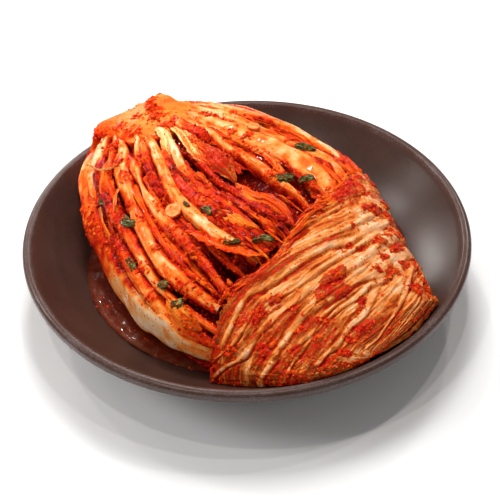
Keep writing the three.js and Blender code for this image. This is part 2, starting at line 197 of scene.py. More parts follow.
def bowl_height(radius, floor_height, rim_radius, rim_height):
    """Height of the wall's curve at a radius, from a level floor up to a rim."""
    t = np.maximum(0, (radius - FLOOR_RADIUS) / (rim_radius - FLOOR_RADIUS))
    return floor_height + (rim_height - floor_height) * t**WALL_CURVE


def inside_height(radius):
    """Height of the dish's inside at a radius."""
    return bowl_height(radius, FLOOR_HEIGHT, DISH_INNER, INNER_TOP)


def grid_faces(rows, columns, closed=False):
    """Faces of a grid of points, row by row. A closed one joins each row's end to its start."""
    row = np.arange(rows - 1)[:, None] * columns
    column = np.arange(columns if closed else columns - 1)[None, :]
    after = (column + 1) % columns
    faces = np.stack([row + column, row + after, row + columns + after, row + columns + column], -1)
    return faces.reshape(-1, 4)


def make_piece(name, points, faces, material, stain, way=None, stands_for=()):
    """A smooth mesh piece from points in metres, riding on the dish. Its stain from 0 to 1 is kept at each
    point; on the paste filling and the folded leaf it also carries painted shade, and on the dish painted
    sheen. way counts the fibres across and along it, where it has any."""
    mesh = bpy.data.meshes.new(name)
    mesh.from_pydata(points.tolist(), [], faces if isinstance(faces, list) else faces.tolist())
    stain = np.clip(stain, 0, 1).astype(np.float32)
    mesh.attributes.new("stain", "FLOAT", "POINT").data.foreach_set("value", stain.ravel())
    if way is not None:
        counts = np.stack([*np.broadcast_arrays(*way), np.zeros(stain.shape)], -1).astype(np.float32)
        mesh.attributes.new("fibre_way", "FLOAT_VECTOR", "POINT").data.foreach_set("vector", counts.ravel())
    mesh.shade_smooth()
    mesh.materials.append(material)
    made = new_object(name, mesh)
    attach(made, "root")
    if stands_for:
        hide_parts(*stands_for)
    return made


def calc(tree, operation, *values):
    """The result of a new math node. Each value is a number or another node's result."""
    made = add(tree, "Math", operation=operation)
    for socket, value in zip(made.inputs, values):
        if isinstance(value, (int, float)):
            socket.default_value = value
        else:
            tree.links.new(value, socket)
    return made.outputs[0]


glaze, tree, shader, coords = new_material("stoneware_glaze", {"Specular IOR Level": 0.4})
specks = add(tree, "TexNoise", {"Scale": 1300.0, "Detail": 1.0, "Roughness": 0.5})
clouds = add(tree, "TexNoise", {"Scale": 45.0, "Detail": 3.0, "Roughness": 0.55})
for texture in (specks, clouds):
    tree.links.new(coords, texture.inputs["Vector"])
tone = calc(tree, "MULTIPLY_ADD", specks.outputs["Fac"], 0.36, 0.27)
tone = calc(tree, "MULTIPLY_ADD", clouds.outputs["Fac"], 0.2, tone)
# The dish's stain attribute carries the painted sheen, which pales the glaze along the lip and outside.
tone = calc(tree, "ADD", tone, add(tree, "Attribute", attribute_name="stain").outputs["Fac"])
glaze_ramp = ramp(tree, GLAZE_TONES)
tree.links.new(tone, glaze_ramp.inputs["Fac"])
tree.links.new(glaze_ramp.outputs["Color"], shader.inputs["Base Color"])
glaze_rough = add(tree, "MapRange", {"To Min": 0.27, "To Max": 0.32})
tree.links.new(clouds.outputs["Fac"], glaze_rough.inputs["Value"])
tree.links.new(glaze_rough.outputs["Result"], shader.inputs["Roughness"])
glaze_bump = add(tree, "Bump", {"Strength": 0.06, "Distance": 0.0002})
tree.links.new(specks.outputs["Fac"], glaze_bump.inputs["Height"])
tree.links.new(glaze_bump.outputs["Normal"], shader.inputs["Normal"])

# The dish's section as radius and height, from the middle of its floor over the lip to under its foot
inner = [(r, float(inside_height(r))) for r in np.linspace(2, DISH_INNER, 48)]
lip = [
    (134.35, 43.15), (134.9, 43.7), (135.7, 44.0), (137.3, 44.0), (138.6, 43.75), (139.5, 43.1),
    (139.9, 42.2), (140.0, 41.0), (140.0, 39.8), (139.85, 38.9), (139.4, 38.1),
]
outer_radii = np.linspace(138.6, 73, 30)
outer = [(r, float(bowl_height(r, UNDERSIDE_HEIGHT, UNDERSIDE_RADIUS, LIP_BOTTOM))) for r in outer_radii]
foot = [
    (72.2, 2.6), (71.4, 1.2), (71.0, 0.35), (70.4, 0.0), (65.6, 0.0), (65.0, 0.4), (63.0, 3.0), (60.0, 3.0),
    (2.0, 3.0),
]
profile = np.array(inner + lip + outer + foot)
around = np.linspace(0, 2 * math.pi, DISH_SIDES, endpoint=False)
radius = profile[:, :1]
rings = [radius * np.cos(around), radius * np.sin(around), np.repeat(profile[:, 1:], DISH_SIDES, 1)]
dish_points = np.stack(rings, -1).reshape(-1, 3) * 0.001
dish_faces = grid_faces(len(profile), DISH_SIDES, closed=True).tolist()
dish_faces.append(list(range(DISH_SIDES))[::-1])
dish_faces.append(list(range(len(dish_points) - DISH_SIDES, len(dish_points))))
# Painted sheen: the lip and the outside are painted paler than the inside.
sheen_rows = [len(inner) - 1, len(lip) + 1, len(outer) + len(foot)]
painted_sheen = np.repeat(np.repeat([INSIDE_PAINTED_SHEEN, LIP_PAINTED_SHEEN, OUTSIDE_PAINTED_SHEEN], sheen_rows), DISH_SIDES)
dish = make_piece("stoneware_dish", dish_points, dish_faces, glaze, painted_sheen, stands_for=["dish"])
dish.data.flip_normals()

# --- Paste and shredded leaf under the stalks ---------------------------------------------------------
# The half head lies cut side up. Its places are given along its length in millimetres, minus at the core and
# plus at the fold, and by the turn round it in degrees: 0 on top, -90 left. Chilli paste fills it in lumps.

CORE_END = -127.0
FOLD_END = 133.0
LEFT_WIDTH = 90.0
RIGHT_WIDTH = 80.0
TOP_HEIGHT = 78
FOLD_HEIGHT = 47
HEAD_TURN = math.radians(-58.8)
TO_DISH = np.array(
    [[math.cos(HEAD_TURN), -math.sin(HEAD_TURN), 0], [math.sin(HEAD_TURN), math.cos(HEAD_TURN), 0], [0, 0, 1]]
)
CHANCE = np.random.default_rng(41)
BUMPS = np.random.default_rng(7).uniform(-1, 1, (256, 256))


def drift(u, v):
    """Smooth chance heights from -1 to 1 over a plane, a step of 1 between one and the next."""
    i, j = np.floor(u).astype(int), np.floor(v).astype(int)
    f, g = u - i, v - j
    f, g = f * f * (3 - 2 * f), g * g * (3 - 2 * g)
    a, b = BUMPS[i % 256, j % 256], BUMPS[(i + 1) % 256, j % 256]
    c, d = BUMPS[i % 256, (j + 1) % 256], BUMPS[(i + 1) % 256, (j + 1) % 256]
    return (a * (1 - f) + b * f) * (1 - g) + (c * (1 - f) + d * f) * g


def grain(u, v, layers=3):
    """Chance heights with finer ones on top of them."""
    return sum(0.55**k * drift(u * 2**k + 19.3 * k, v * 2**k + 7.7 * k) for k in range(layers)) / 1.5


def knobbly(points, size):
    """Chance heights all over a solid's points, with lumps of about a size in millimetres."""
    x, y, z = (points[..., k] / size for k in range(3))
    return grain(x + 0.62 * z, y - 0.55 * z)


def ease(x, low, high):
    """From 0 at low to 1 at high, level at both."""
    t = np.clip((x - low) / (high - low), 0, 1)
    return t * t * (3 - 2 * t)


def round_off(t, power):
    """From 1 down to 0 as a superellipse."""
    return (1 - np.clip(t, 0, 1) ** power) ** (1 / power)


def hump(x, middle, width):
    """From 1 at a middle down to nearly 0 at two widths to each side of it."""
    return np.exp(-(((x - middle) / width) ** 2))


def end_share(along, inset=0.0):
    """How far along from the head's middle to its nearer end a place is, from 0 to 1."""
    return np.clip(np.where(along > 0, along / (FOLD_END - inset), along / (CORE_END + inset)), 0, 1)


def half_width(along, left, inset=0.0):
    """Half width of the head at a place along it, on its left or right side."""
    t = end_share(along, inset)
    core = np.where(left, LEFT_WIDTH, RIGHT_WIDTH) - inset
    core = core * np.where(left, round_off(t, 3.0), round_off(t, 1.75))
    in_dish = np.sqrt(np.maximum(0, 133.0**2 - along**2))
    right = 67 + 13 * (1 - t) ** 2
    width = np.where(left, LEFT_WIDTH * round_off(t, 2.4), right * round_off(t, 6.0))
    drawn_in = np.where(left, 5.0 * hump(along, -42, 45), 0)
    return np.where(along < 0, core, np.maximum(0, np.minimum(width, in_dish) - inset)) - drawn_in


def outline(along, turn, inset=0.0):
    """A point of the head's outside, less an inset all round, but nowhere inside the dish."""
    along, turn, inset = np.broadcast_arrays(*(np.asarray(x, float) for x in (along, turn, inset)))
    t = end_share(along, inset)
    left = turn < 0
    width = half_width(along, left, inset)
    top = np.where(along > 0, FOLD_HEIGHT + 31 * (1 - t**2.2), TOP_HEIGHT - 10 * t**5) - inset
    towards_fold = ease(along, 10, 105)
    wall = inside_height(np.hypot(along, width)) + 0.8
    belly = np.minimum(np.maximum(np.where(left, 28.0, 46 - 16 * towards_fold), wall + 2), top - 2)
    corner = 2 / np.where(left, 2.2, 3.4 - 0.8 * towards_fold)
    sine, cosine = np.abs(np.sin(np.radians(turn))), np.cos(np.radians(turn))
    across = np.sign(turn) * width * sine**corner
    height = belly + (top - belly) * np.maximum(0, cosine) ** corner
    height = height - (belly - 8) * np.maximum(0, -cosine) ** 0.83
    height = np.maximum(height, inside_height(np.hypot(along, across)) + 0.8)
    return np.stack([along, across, height], -1)


def unit(vectors):
    """The same directions, each of length 1."""
    return vectors / np.maximum(np.linalg.norm(vectors, axis=-1, keepdims=True), 1e-9)


def surface(along, turn):
    """Points of the head's outside and their normals."""
    ahead = outline(along + 0.5, turn) - outline(along - 0.5, turn)
    sideways = outline(along, turn + 0.5) - outline(along, turn - 0.5)
    return outline(along, turn), unit(np.cross(ahead, sideways))


def above_dish(points, gap=0.8):
    """The same points, none lower than a gap above the dish."""
    floor_there = inside_height(np.hypot(points[..., 0], points[..., 1])) + gap
    return np.concatenate([points[..., :2], np.maximum(points[..., 2], floor_there)[..., None]], -1)


def from_head(points):
    """Points of the head in millimetres as points of the dish in metres."""
    return np.asarray(points).reshape(-1, 3) @ TO_DISH.T * 0.001


# Noise scales of the food, per metre, and the tones of the chilli flakes in it
FINE_GRAIN = 820.0
BROAD_CLOUDS = 210.0
FLAKE_CELLS = 620.0
RED_FLAKES = [(0.0, (196, 24, 8)), (1.0, (242, 74, 18))]
RED_SHEEN = (1.0, 0.36, 0.16, 1.0)
RED_GLOW = (1.0, 0.32, 0.14)


def wet_leaf(
    name, tones, lumps=0.5, flakes=0.3, gloss=0.3, wet=0.12, glow=0.1, mottle=0.3, grit=0.3, fibres=0.0
):
    """Wet food whose stain mark picks its tone, from the first at 0 to the last at 1; where painted shade has
    been added to the mark, it darkens the tone too. Chilli flakes speckle it, grit breaks up what is
    stained, and fibres streak it along its fibre_way."""
    material, tree, shader, coords = new_material(
        name,
        {
            "Roughness": 0.42, "Coat Weight": gloss, "Coat Roughness": wet,
            "Specular IOR Level": 0.08, "Specular Tint": RED_SHEEN,
            "Subsurface Weight": glow, "Subsurface Radius": RED_GLOW, "Subsurface Scale": 0.001,
        },
    )
    stain = add(tree, "Attribute", attribute_name="stain").outputs["Fac"]
    fine = add(tree, "TexNoise", {"Scale": FINE_GRAIN, "Detail": 3.0, "Roughness": 0.62})
    broad = add(tree, "TexNoise", {"Scale": BROAD_CLOUDS, "Detail": 2.0, "Roughness": 0.5})
    cells = add(tree, "TexVoronoi", {"Scale": FLAKE_CELLS})
    for texture in (fine, broad, cells):
        tree.links.new(coords, texture.inputs["Vector"])
    chance = add(tree, "SeparateColor")
    tree.links.new(cells.outputs["Color"], chance.inputs["Color"])
    clouds = calc(tree, "ADD", fine.outputs["Fac"], broad.outputs["Fac"])
    tone = calc(tree, "ADD", stain, calc(tree, "MULTIPLY_ADD", clouds, mottle, -mottle))
    gritty = calc(tree, "MULTIPLY_ADD", chance.outputs[2], grit, -grit / 2)
    tone = calc(tree, "ADD", tone, calc(tree, "MULTIPLY", gritty, stain))
    is_flake = calc(tree, "LESS_THAN", chance.outputs[0], calc(tree, "MULTIPLY_ADD", stain, flakes, 0.04))
    flake = calc(tree, "MULTIPLY", is_flake, calc(tree, "LESS_THAN", cells.outputs["Distance"], 0.34))
    height = calc(tree, "MULTIPLY_ADD", flake, 0.35, fine.outputs["Fac"])
    hollows = calc(tree, "MULTIPLY", cells.outputs["Distance"], stain)
    height = calc(tree, "MULTIPLY_ADD", hollows, -0.5, height)
    if fibres:
        fibre_way = add(tree, "Attribute", attribute_name="fibre_way")
        threads = add(tree, "TexNoise", {"Scale": 1.0, "Detail": 3.0, "Roughness": 0.6})
        tree.links.new(fibre_way.outputs["Vector"], threads.inputs["Vector"])
        streaks = calc(tree, "MULTIPLY_ADD", threads.outputs["Fac"], fibres, -fibres / 2)
        tone = calc(tree, "ADD", tone, streaks)
        height = calc(tree, "MULTIPLY_ADD", threads.outputs["Fac"], -1.6 * fibres, height)
    food_tone = ramp(tree, tones)
    flake_tone = ramp(tree, RED_FLAKES)
    mixed = add(tree, "Mix", data_type="RGBA")
    tree.links.new(tone, food_tone.inputs["Fac"])
    tree.links.new(chance.outputs[1], flake_tone.inputs["Fac"])
    tree.links.new(flake, mixed.inputs[0])
    tree.links.new(food_tone.outputs["Color"], mixed.inputs[6])
    tree.links.new(flake_tone.outputs["Color"], mixed.inputs[7])
    tree.links.new(mixed.outputs[2], shader.inputs["Base Color"])
    bump = add(tree, "Bump", {"Strength": lumps, "Distance": 0.0012})
    tree.links.new(height, bump.inputs["Height"])
    tree.links.new(bump.outputs["Normal"], shader.inputs["Normal"])
    return material


# Its darkest tones also give the painted shade of the deep gaps.
PASTE_TONES = [
    (0.0, (248, 118, 32)), (0.3, (238, 74, 12)), (0.55, (214, 38, 15)), (0.8, (174, 19, 12)),
    (1.0, (106, 8, 6)),
]
paste = wet_leaf(
    "chilli_paste", PASTE_TONES, lumps=0.9, flakes=0.5, gloss=0.4, wet=0.07, glow=0.05, mottle=0.4, grit=0.1
)

# Deep gaps between the stalks, each as its place along and round the head and its length and width
GAPS = [
    (-31, -6, 14, 2.6), (29, -61, 15, 2.8), (65, -52, 12, 2.6), (10, -53, 14, 1.8), (68, -40, 6, 2),
    (-45, -33, 10, 1.5), (-10, -4, 10, 2.0), (-50, -44, 12, 1.6), (18, 12, 12, 1.6), (-30, 19, 12, 1.4),
    (-42, -1.5, 12, 1.6), (8, 1.5, 12, 1.6), (22, 11, 9, 2.4), (44, -30, 7, 2.4),
]


def soft_spots(places, along, turn, grow=1.0):
    """How near a place is to soft spots of (along, turn, length, width). It is 1 in the middle of a spot and
    adds up where spots meet."""
    return sum(
        np.exp(-(((along - a) / long / grow) ** 2) - ((turn - r) / wide / grow) ** 2)
        for a, r, long, wide in places
    )


def in_gap(along, turn, grow=1.0):
    """How deep in a gap a place is, from 0 to 1."""
    return np.clip(soft_spots(GAPS, along, turn, grow), 0, 1)


def grid_of(rows, columns):
    """The values of a grid's rows and columns at each of its points."""
    return np.meshgrid(rows, columns, indexing="ij")


BED_ROWS = 190
BED_COLUMNS = 190
along, turn = grid_of(np.linspace(-112, 118, BED_ROWS), np.linspace(-136, 136, BED_COLUMNS))
gap = in_gap(along, turn, 1.3)
strands = drift(turn * 0.42 + 0.8 * drift(along * 0.05, turn * 0.05), along * 0.055)
lumps = grain(along * 0.22, turn * 0.3, 4)
bed_depth = 6.8 - 1.4 * strands - 2.2 * lumps + 11 * gap
bed_depth = bed_depth - 1.5 * knobbly(outline(along, turn), 1.9)
bed_inset = bed_depth + (1 - bed_depth) * ease(np.abs(turn), 104, 124)
bed_points = above_dish(outline(along, turn, bed_inset), 0.4)
# Painted shade: the paste is painted darker in the deep gaps and where it lies deeper, and lighter on its
# raised lumps and strands.
bed_stain_and_shade = 0.8 - 0.2 * lumps - 0.1 * strands + 0.36 * gap + 0.06 * (bed_depth - 5.5)
make_piece(
    "paste_filling", from_head(bed_points), grid_faces(BED_ROWS, BED_COLUMNS), paste,
    bed_stain_and_shade, stands_for=["leaf_bed"],
)

# --- Brine --------------------------------------------------------------------------------------------
# Thin dark red juice that has run out of the cabbage. It lies 9 mm deep in the dish on both sides of the head
# and creeps up a little where it touches the glaze.

BRINE_HEIGHT = 18.0
BRINE_TONES = [(0.0, (96, 50, 36)), (0.3, (94, 30, 14)), (0.6, (78, 20, 9)), (1.0, (56, 12, 6))]
BRINE_ROWS = 56
BRINE_COLUMNS = 280
UNDER_HEAD = 17
# Chilli flakes float on the rows near its shore
SHORE_FROM = 36
brine_finish = wet_leaf(
    "brine", BRINE_TONES, lumps=0.32, flakes=0.0, gloss=1.0, wet=0.06, glow=0.0, mottle=1.0, grit=0.1
)


def waver(x, row=0.0):
    """Smooth chance heights from -1 to 1 along a line. Each row has its own."""
    return drift(x, x * 0 + row)


full = (BRINE_HEIGHT - FLOOR_HEIGHT) / (INNER_TOP - FLOOR_HEIGHT)
brine_rim = FLOOR_RADIUS + (DISH_INNER - FLOOR_RADIUS) * full ** (1 / WALL_CURVE)
radius, angle = grid_of(
    np.linspace(30, brine_rim + 1.4, BRINE_ROWS), np.linspace(-math.pi, math.pi, BRINE_COLUMNS)
)
shore = 0.8 * waver(angle * 4 + 40) + 0.35 * waver(angle * 17 + 90)
radius = radius + shore * (radius / brine_rim) ** 6
along = radius * np.cos(angle)
across = radius * np.sin(angle)
creep = 0.9 * np.exp(-(brine_rim + 1.2 - radius) / 1.1)
height = BRINE_HEIGHT + creep + 0.22 * grain(along * 0.3, across * 0.3)
height = np.maximum(height, inside_height(radius) + 0.12)
deep = np.clip((height - inside_height(radius)) / 7.0, 0, 1)
brine_points = np.stack([along, across, height], -1)
brine_faces = grid_faces(BRINE_ROWS, BRINE_COLUMNS)
middles = brine_points.reshape(-1, 3)[brine_faces].mean(1)
beside = np.abs(middles[:, 1]) > half_width(middles[:, 0], middles[:, 1] < 0) - UNDER_HEAD
make_piece(
    "brine_pools", from_head(brine_points), brine_faces[beside], brine_finish,
    0.1 + 0.6 * deep, stands_for=["brine_left", "brine_right"],
)

# --- Core ---------------------------------------------------------------------------------------------
# The cut base where all the leaves meet: smooth wet orange flesh trimmed in a few flat cuts, with paste left
# on it. It goes over into the stalks in blunt tongues.

CORE_TONES = [
    (0.0, (249, 180, 102)), (0.3, (247, 134, 54)), (0.5, (240, 100, 24)), (0.72, (226, 52, 10)),
    (1.0, (196, 26, 6)),
]
core_finish = wet_leaf(
    "core_flesh", CORE_TONES, lumps=0.26, flakes=0.1, gloss=0.12, wet=0.14, glow=0.15, mottle=0.17, grit=0.2
)


def curve_at(stops, at):
    """A smooth curve through stops of (place, value), read at other places."""
    places, values = np.array(stops, float).T
    slopes = np.gradient(values, places)
    k = np.clip(np.searchsorted(places, at) - 1, 0, len(places) - 2)
    step = places[k + 1] - places[k]
    t = np.clip((at - places[k]) / step, 0, 1)
    rise = values[k] * (1 + 2 * t) * (1 - t) ** 2 + values[k + 1] * t**2 * (3 - 2 * t)
    return rise + step * (slopes[k] * t * (1 - t) ** 2 - slopes[k + 1] * t**2 * (1 - t))


# The front edge of the core, as its turn and how far along it reaches there
CORE_FRONT = [
    (-180, -100), (-128, -104), (-96, -110), (-66, -117), (-48, -117), (-37, -113), (-30, -104),
    (-25, -94), (-18, -86), (-10, -83), (-4, -84), (1, -85), (6, -83), (12, -84), (20, -90), (36, -94),
    (50, -97), (66, -99), (96, -100), (128, -100), (180, -100),
]
# The knife's flat cuts, each by its place, its depth and how it leans towards the fold and round the head
CORE_CUTS = [
    (-104, 10, 1.6, 0.12, -0.05), (-117, -32, 2.0, 0.0, 0.1), (-92, -5, 1.2, 0.3, 0.0),
    (-118, 58, 3.0, -0.2, 0.0), (-114, 34, 3.2, 0.0, 0.05), (-116, -84, 3.0, -0.1, -0.1),
    (-112, 104, 3.0, -0.1, 0.0), (-110, -52, 1.6, 0.2, 0.0), (-106, 36, 1.4, 0.1, 0.1),
]
# Paste left on it: place, and length and width of each patch
CORE_PASTE = [
    (-113, -2, 4, 3), (-106, -3, 4, 4), (-98, -4, 4, 4), (-87, -4, 3, 6), (-84, 0, 3, 4),
    (-107, -25, 5, 5), (-98, -21, 3, 6), (-92, -19, 3, 6), (-108, -42, 5, 7), (-104, 28, 5, 6),
    (-112, 60, 8, 12), (-114, -70, 6, 14), (-104, 76, 5, 9), (-113, 92, 5, 10), (-102, 108, 6, 9),
    (-120, 44, 4, 8), (-105, -92, 5, 10), (-118, -100, 5, 12),
]
CORE_ROWS = 90
CORE_COLUMNS = 400
CUT_ROWS = 12
TURN_DOWN = 0.93
share, turn = grid_of(np.linspace(0, 1, CORE_ROWS), np.linspace(-180, 180, CORE_COLUMNS, endpoint=False))
front = curve_at(CORE_FRONT, turn) + 2.4 * waver(turn * 0.22) + 1.0 * waver(turn * 0.8, 5)
down = np.clip((share - TURN_DOWN) / (1 - TURN_DOWN), 0, 1)
base = CORE_END + 0.2
along = base + (front + 4 - base) * np.minimum(1, share / TURN_DOWN)
point, normal = surface(along, turn)
patch = 1.2 * soft_spots(CORE_PASTE, along, turn)
patch = patch + 0.8 * knobbly(point + 9, 2.6) + 0.6 * knobbly(point + 2, 1.2)
patch = ease(patch, 0.55, 0.9)
facets = 0.9 * knobbly(point, 16) + 0.35 * knobbly(point + 30, 5)
lift = facets + patch * (0.9 + 1.5 * knobbly(point, 1.4)) - 8 * down**1.5 - 0.8
lift = lift + 1.1 * ease(share, 0.78, 0.9) * knobbly(point + 15, 1.8)
blends = ease(turn, -2, 8) * (1 - ease(turn, 120, 150))
lift = lift - (2.4 + 1.2 * blends) * ease(along, front - 8 - 12 * blends, front + 4)
core_points = point + normal * lift[..., None]
ahead = np.array([1.0, 0, 0])
for cut_along, cut_turn, depth, forward, round_it in CORE_CUTS:
    at, facing = surface(cut_along, cut_turn)
    facing = unit(facing + forward * ahead + round_it * np.cross(ahead, facing))
    beyond = (core_points - at) @ facing + depth
    core_points = core_points - facing * np.where(beyond > 0, beyond * 0.85, 0)[..., None]
nub = 5.5 * np.exp(-(((along + 115) / 7) ** 4) - ((turn - 4) / 8) ** 4)
shoulder = 8.0 * soft_spots([(-116, -43, 9, 13)], along, turn)
core_points = above_dish(core_points + normal * (nub + shoulder)[..., None])
core_stain = 0.34 + 0.14 * knobbly(point + 60, 14) + 0.32 * ease(-turn, 20, 50)
core_stain = core_stain + 0.18 * ease(np.abs(turn), 60, 110) + 0.5 * patch + 0.2 * down
core_stain = core_stain + 0.3 * ease(grain(along * 0.2, turn * 0.09), 0.05, 0.4) * ease(np.abs(turn), 50, 90)
smeared = ease(share, 0.78, 0.9) * (1 - 0.5 * blends)
core_stain = core_stain + smeared * (0.5 * ease(knobbly(point + 15, 1.5), -0.1, 0.25) - 0.12)
# Where loose paste and flakes can land: points, their directions, and how stained they are
landing = [(core_points, normal, core_stain), (brine_points[SHORE_FROM:], [0.0, 0.0, 1.0], 0.5)]
# The trimmed end is a flat cut in which the leaves show as rings
ring = core_points[0]
middle = ring.mean(0)
cut_share = np.linspace(0.02, 0.97, CUT_ROWS)[:, None]
cut_points = middle + (ring - middle) * cut_share[..., None]
cut_points[..., 0] += 0.25 * np.sin(cut_share * 16) * (1 - cut_share) + 0.3 * knobbly(cut_points, 3)
cut_stain = 0.34 + 0.12 * np.sin(cut_share * 22 + 0.5 * waver(turn[:1] * 0.03)) ** 2
cut_stain = cut_stain + 0.2 * knobbly(cut_points + 5, 4)
cut_stain = cut_stain + (core_stain[:1] - cut_stain) * ease(cut_share, 0.4, 0.95)
core_points = np.concatenate([cut_points, core_points])
make_piece(
    "core_cut", from_head(core_points), grid_faces(len(core_points), CORE_COLUMNS, closed=True), core_finish,
    np.concatenate([cut_stain, core_stain]), stands_for=["stem_core"],
)

# --- Stalks -------------------------------------------------------------------------------------------
# The thick white ribs of the leaves, cut lengthwise with the head and fanning from the core to the fold. They
# are juicy and pale on the crest, stained orange, with paste packed along both sides.

STALK_TONES = [
    (0.0, (250, 214, 182)), (0.15, (246, 188, 130)), (0.3, (244, 150, 72)), (0.46, (238, 104, 26)),
    (0.64, (216, 48, 13)), (0.84, (176, 21, 13)), (1.0, (106, 8, 6)),
]
stalk_finish = wet_leaf(
    "stalk_flesh", STALK_TONES, lumps=0.34, flakes=0.34, gloss=0.35, wet=0.12, glow=0.16, mottle=0.24,
    grit=0.1, fibres=0.14,
)
STALK_STEPS = 150
STALK_SIDES = 30
STALK_TUCK = 20.0


def along_route(stops, shares):
    """A smooth route through the stops, read at shares of its stops from 0 to 1."""
    stops = np.asarray(stops, float)
    padded = np.vstack([2 * stops[0] - stops[1], stops, 2 * stops[-1] - stops[-2]])
    at = np.clip(shares, 0, 1) * (len(stops) - 1)
    k = np.minimum(at.astype(int), len(stops) - 2)
    f = (at - k)[:, None]
    a, b, c, d = padded[k], padded[k + 1], padded[k + 2], padded[k + 3]
    return 0.5 * (2 * b + (c - a) * f + (2 * a - 5 * b + 4 * c - d) * f**2 + (3 * b - a - 3 * c + d) * f**3)


# Minced paste left on the stalks in clumps: place along and round the head, spread in millimetres, and
# number of loose grains
CLUMPS = [
    (-50, 8, 2.4, 40), (-34, 7.5, 2.8, 90), (-26, 8, 2.6, 70), (-20, 9, 2.5, 60), (-9, 13, 3, 120),
    (6, 10.5, 3, 80), (20, 13, 5, 120), (30, 13, 5, 70), (-105, -5, 4.5, 50), (-96, -6, 3.5, 45),
    (-86, -2, 4.5, 60), (-108, -13, 3.5, 25), (-117, 9, 3, 22), (-36, -58, 7, 100), (-26, -58, 6, 70),
    (-66, -71, 5, 60), (-57, -74, 5, 60), (-66, -62, 4, 35), (-43, -55, 4, 30), (-62, -24, 4, 30),
    (-44, -28, 4, 30), (-58, -2, 4, 25), (33, -23, 5, 70), (42, -19, 4, 50), (44, -40, 5, 50),
    (60, -36, 6, 70), (-76, -33, 4, 30), (-20, -31, 4, 35), (-4, -17, 5, 40), (-30, 1, 6, 60),
    (2, 4, 6, 60), (-70, 22, 4, 30), (-46, 30, 3, 20), (-20, 38, 4, 30), (4, 48, 5, 40), (-84, 40, 4, 30),
    (24, 33, 5, 40), (-40, 12, 3, 16), (-26, 27, 3, 14), (-81, 9, 3, 50), (-75, 10, 3, 50),
    (-69, 11, 3, 40), (-62, 12.5, 2.5, 24), (-88, -31, 4, 24), (-72, -38, 5, 30), (-60, -36, 5, 30),
    (-36, -45, 4, 24), (-20, -43, 4, 24), (4, -46, 4, 20), (22, -36, 5, 30), (40, -50, 4, 24),
    (-60, -66, 6, 40), (-46, -72, 6, 40), (-34, -74, 6, 40), (-14, -70, 5, 30), (8, -60, 5, 30),
    (26, -66, 5, 30), (2, -36, 4, 60), (12, -32, 4, 60), (26, -34, 3, 40), (-50, 58, 6, 50),
    (-10, 70, 6, 50), (56, -60, 5, 40), (-92, -36, 4, 30),
]


def in_clump(along, turn):
    """How much paste lies on a place, from 0 to 1."""
    places = [(a, r, spread, 0.8 * spread) for a, r, spread, _ in CLUMPS]
    return np.clip(soft_spots(places, along, turn), 0, 1)


def beside_route(route):
    """Points on the head's outside along a route, with the directions out of the head and across it."""
    point, normal = surface(route[:, 0], route[:, 1])
    ahead = unit(np.gradient(point, axis=0))
    return point, normal, unit(np.cross(normal, ahead))


def a_degree(along, turn):
    """How many millimetres one degree of turn is at a place."""
    return np.linalg.norm(outline(along, turn + 0.5) - outline(along, turn - 0.5), axis=-1)


def tone_along(stains, u):
    """The tone at shares u of the way through evenly spaced stains."""
    return curve_at(list(zip(np.linspace(0, 1, len(stains)), stains)), u)


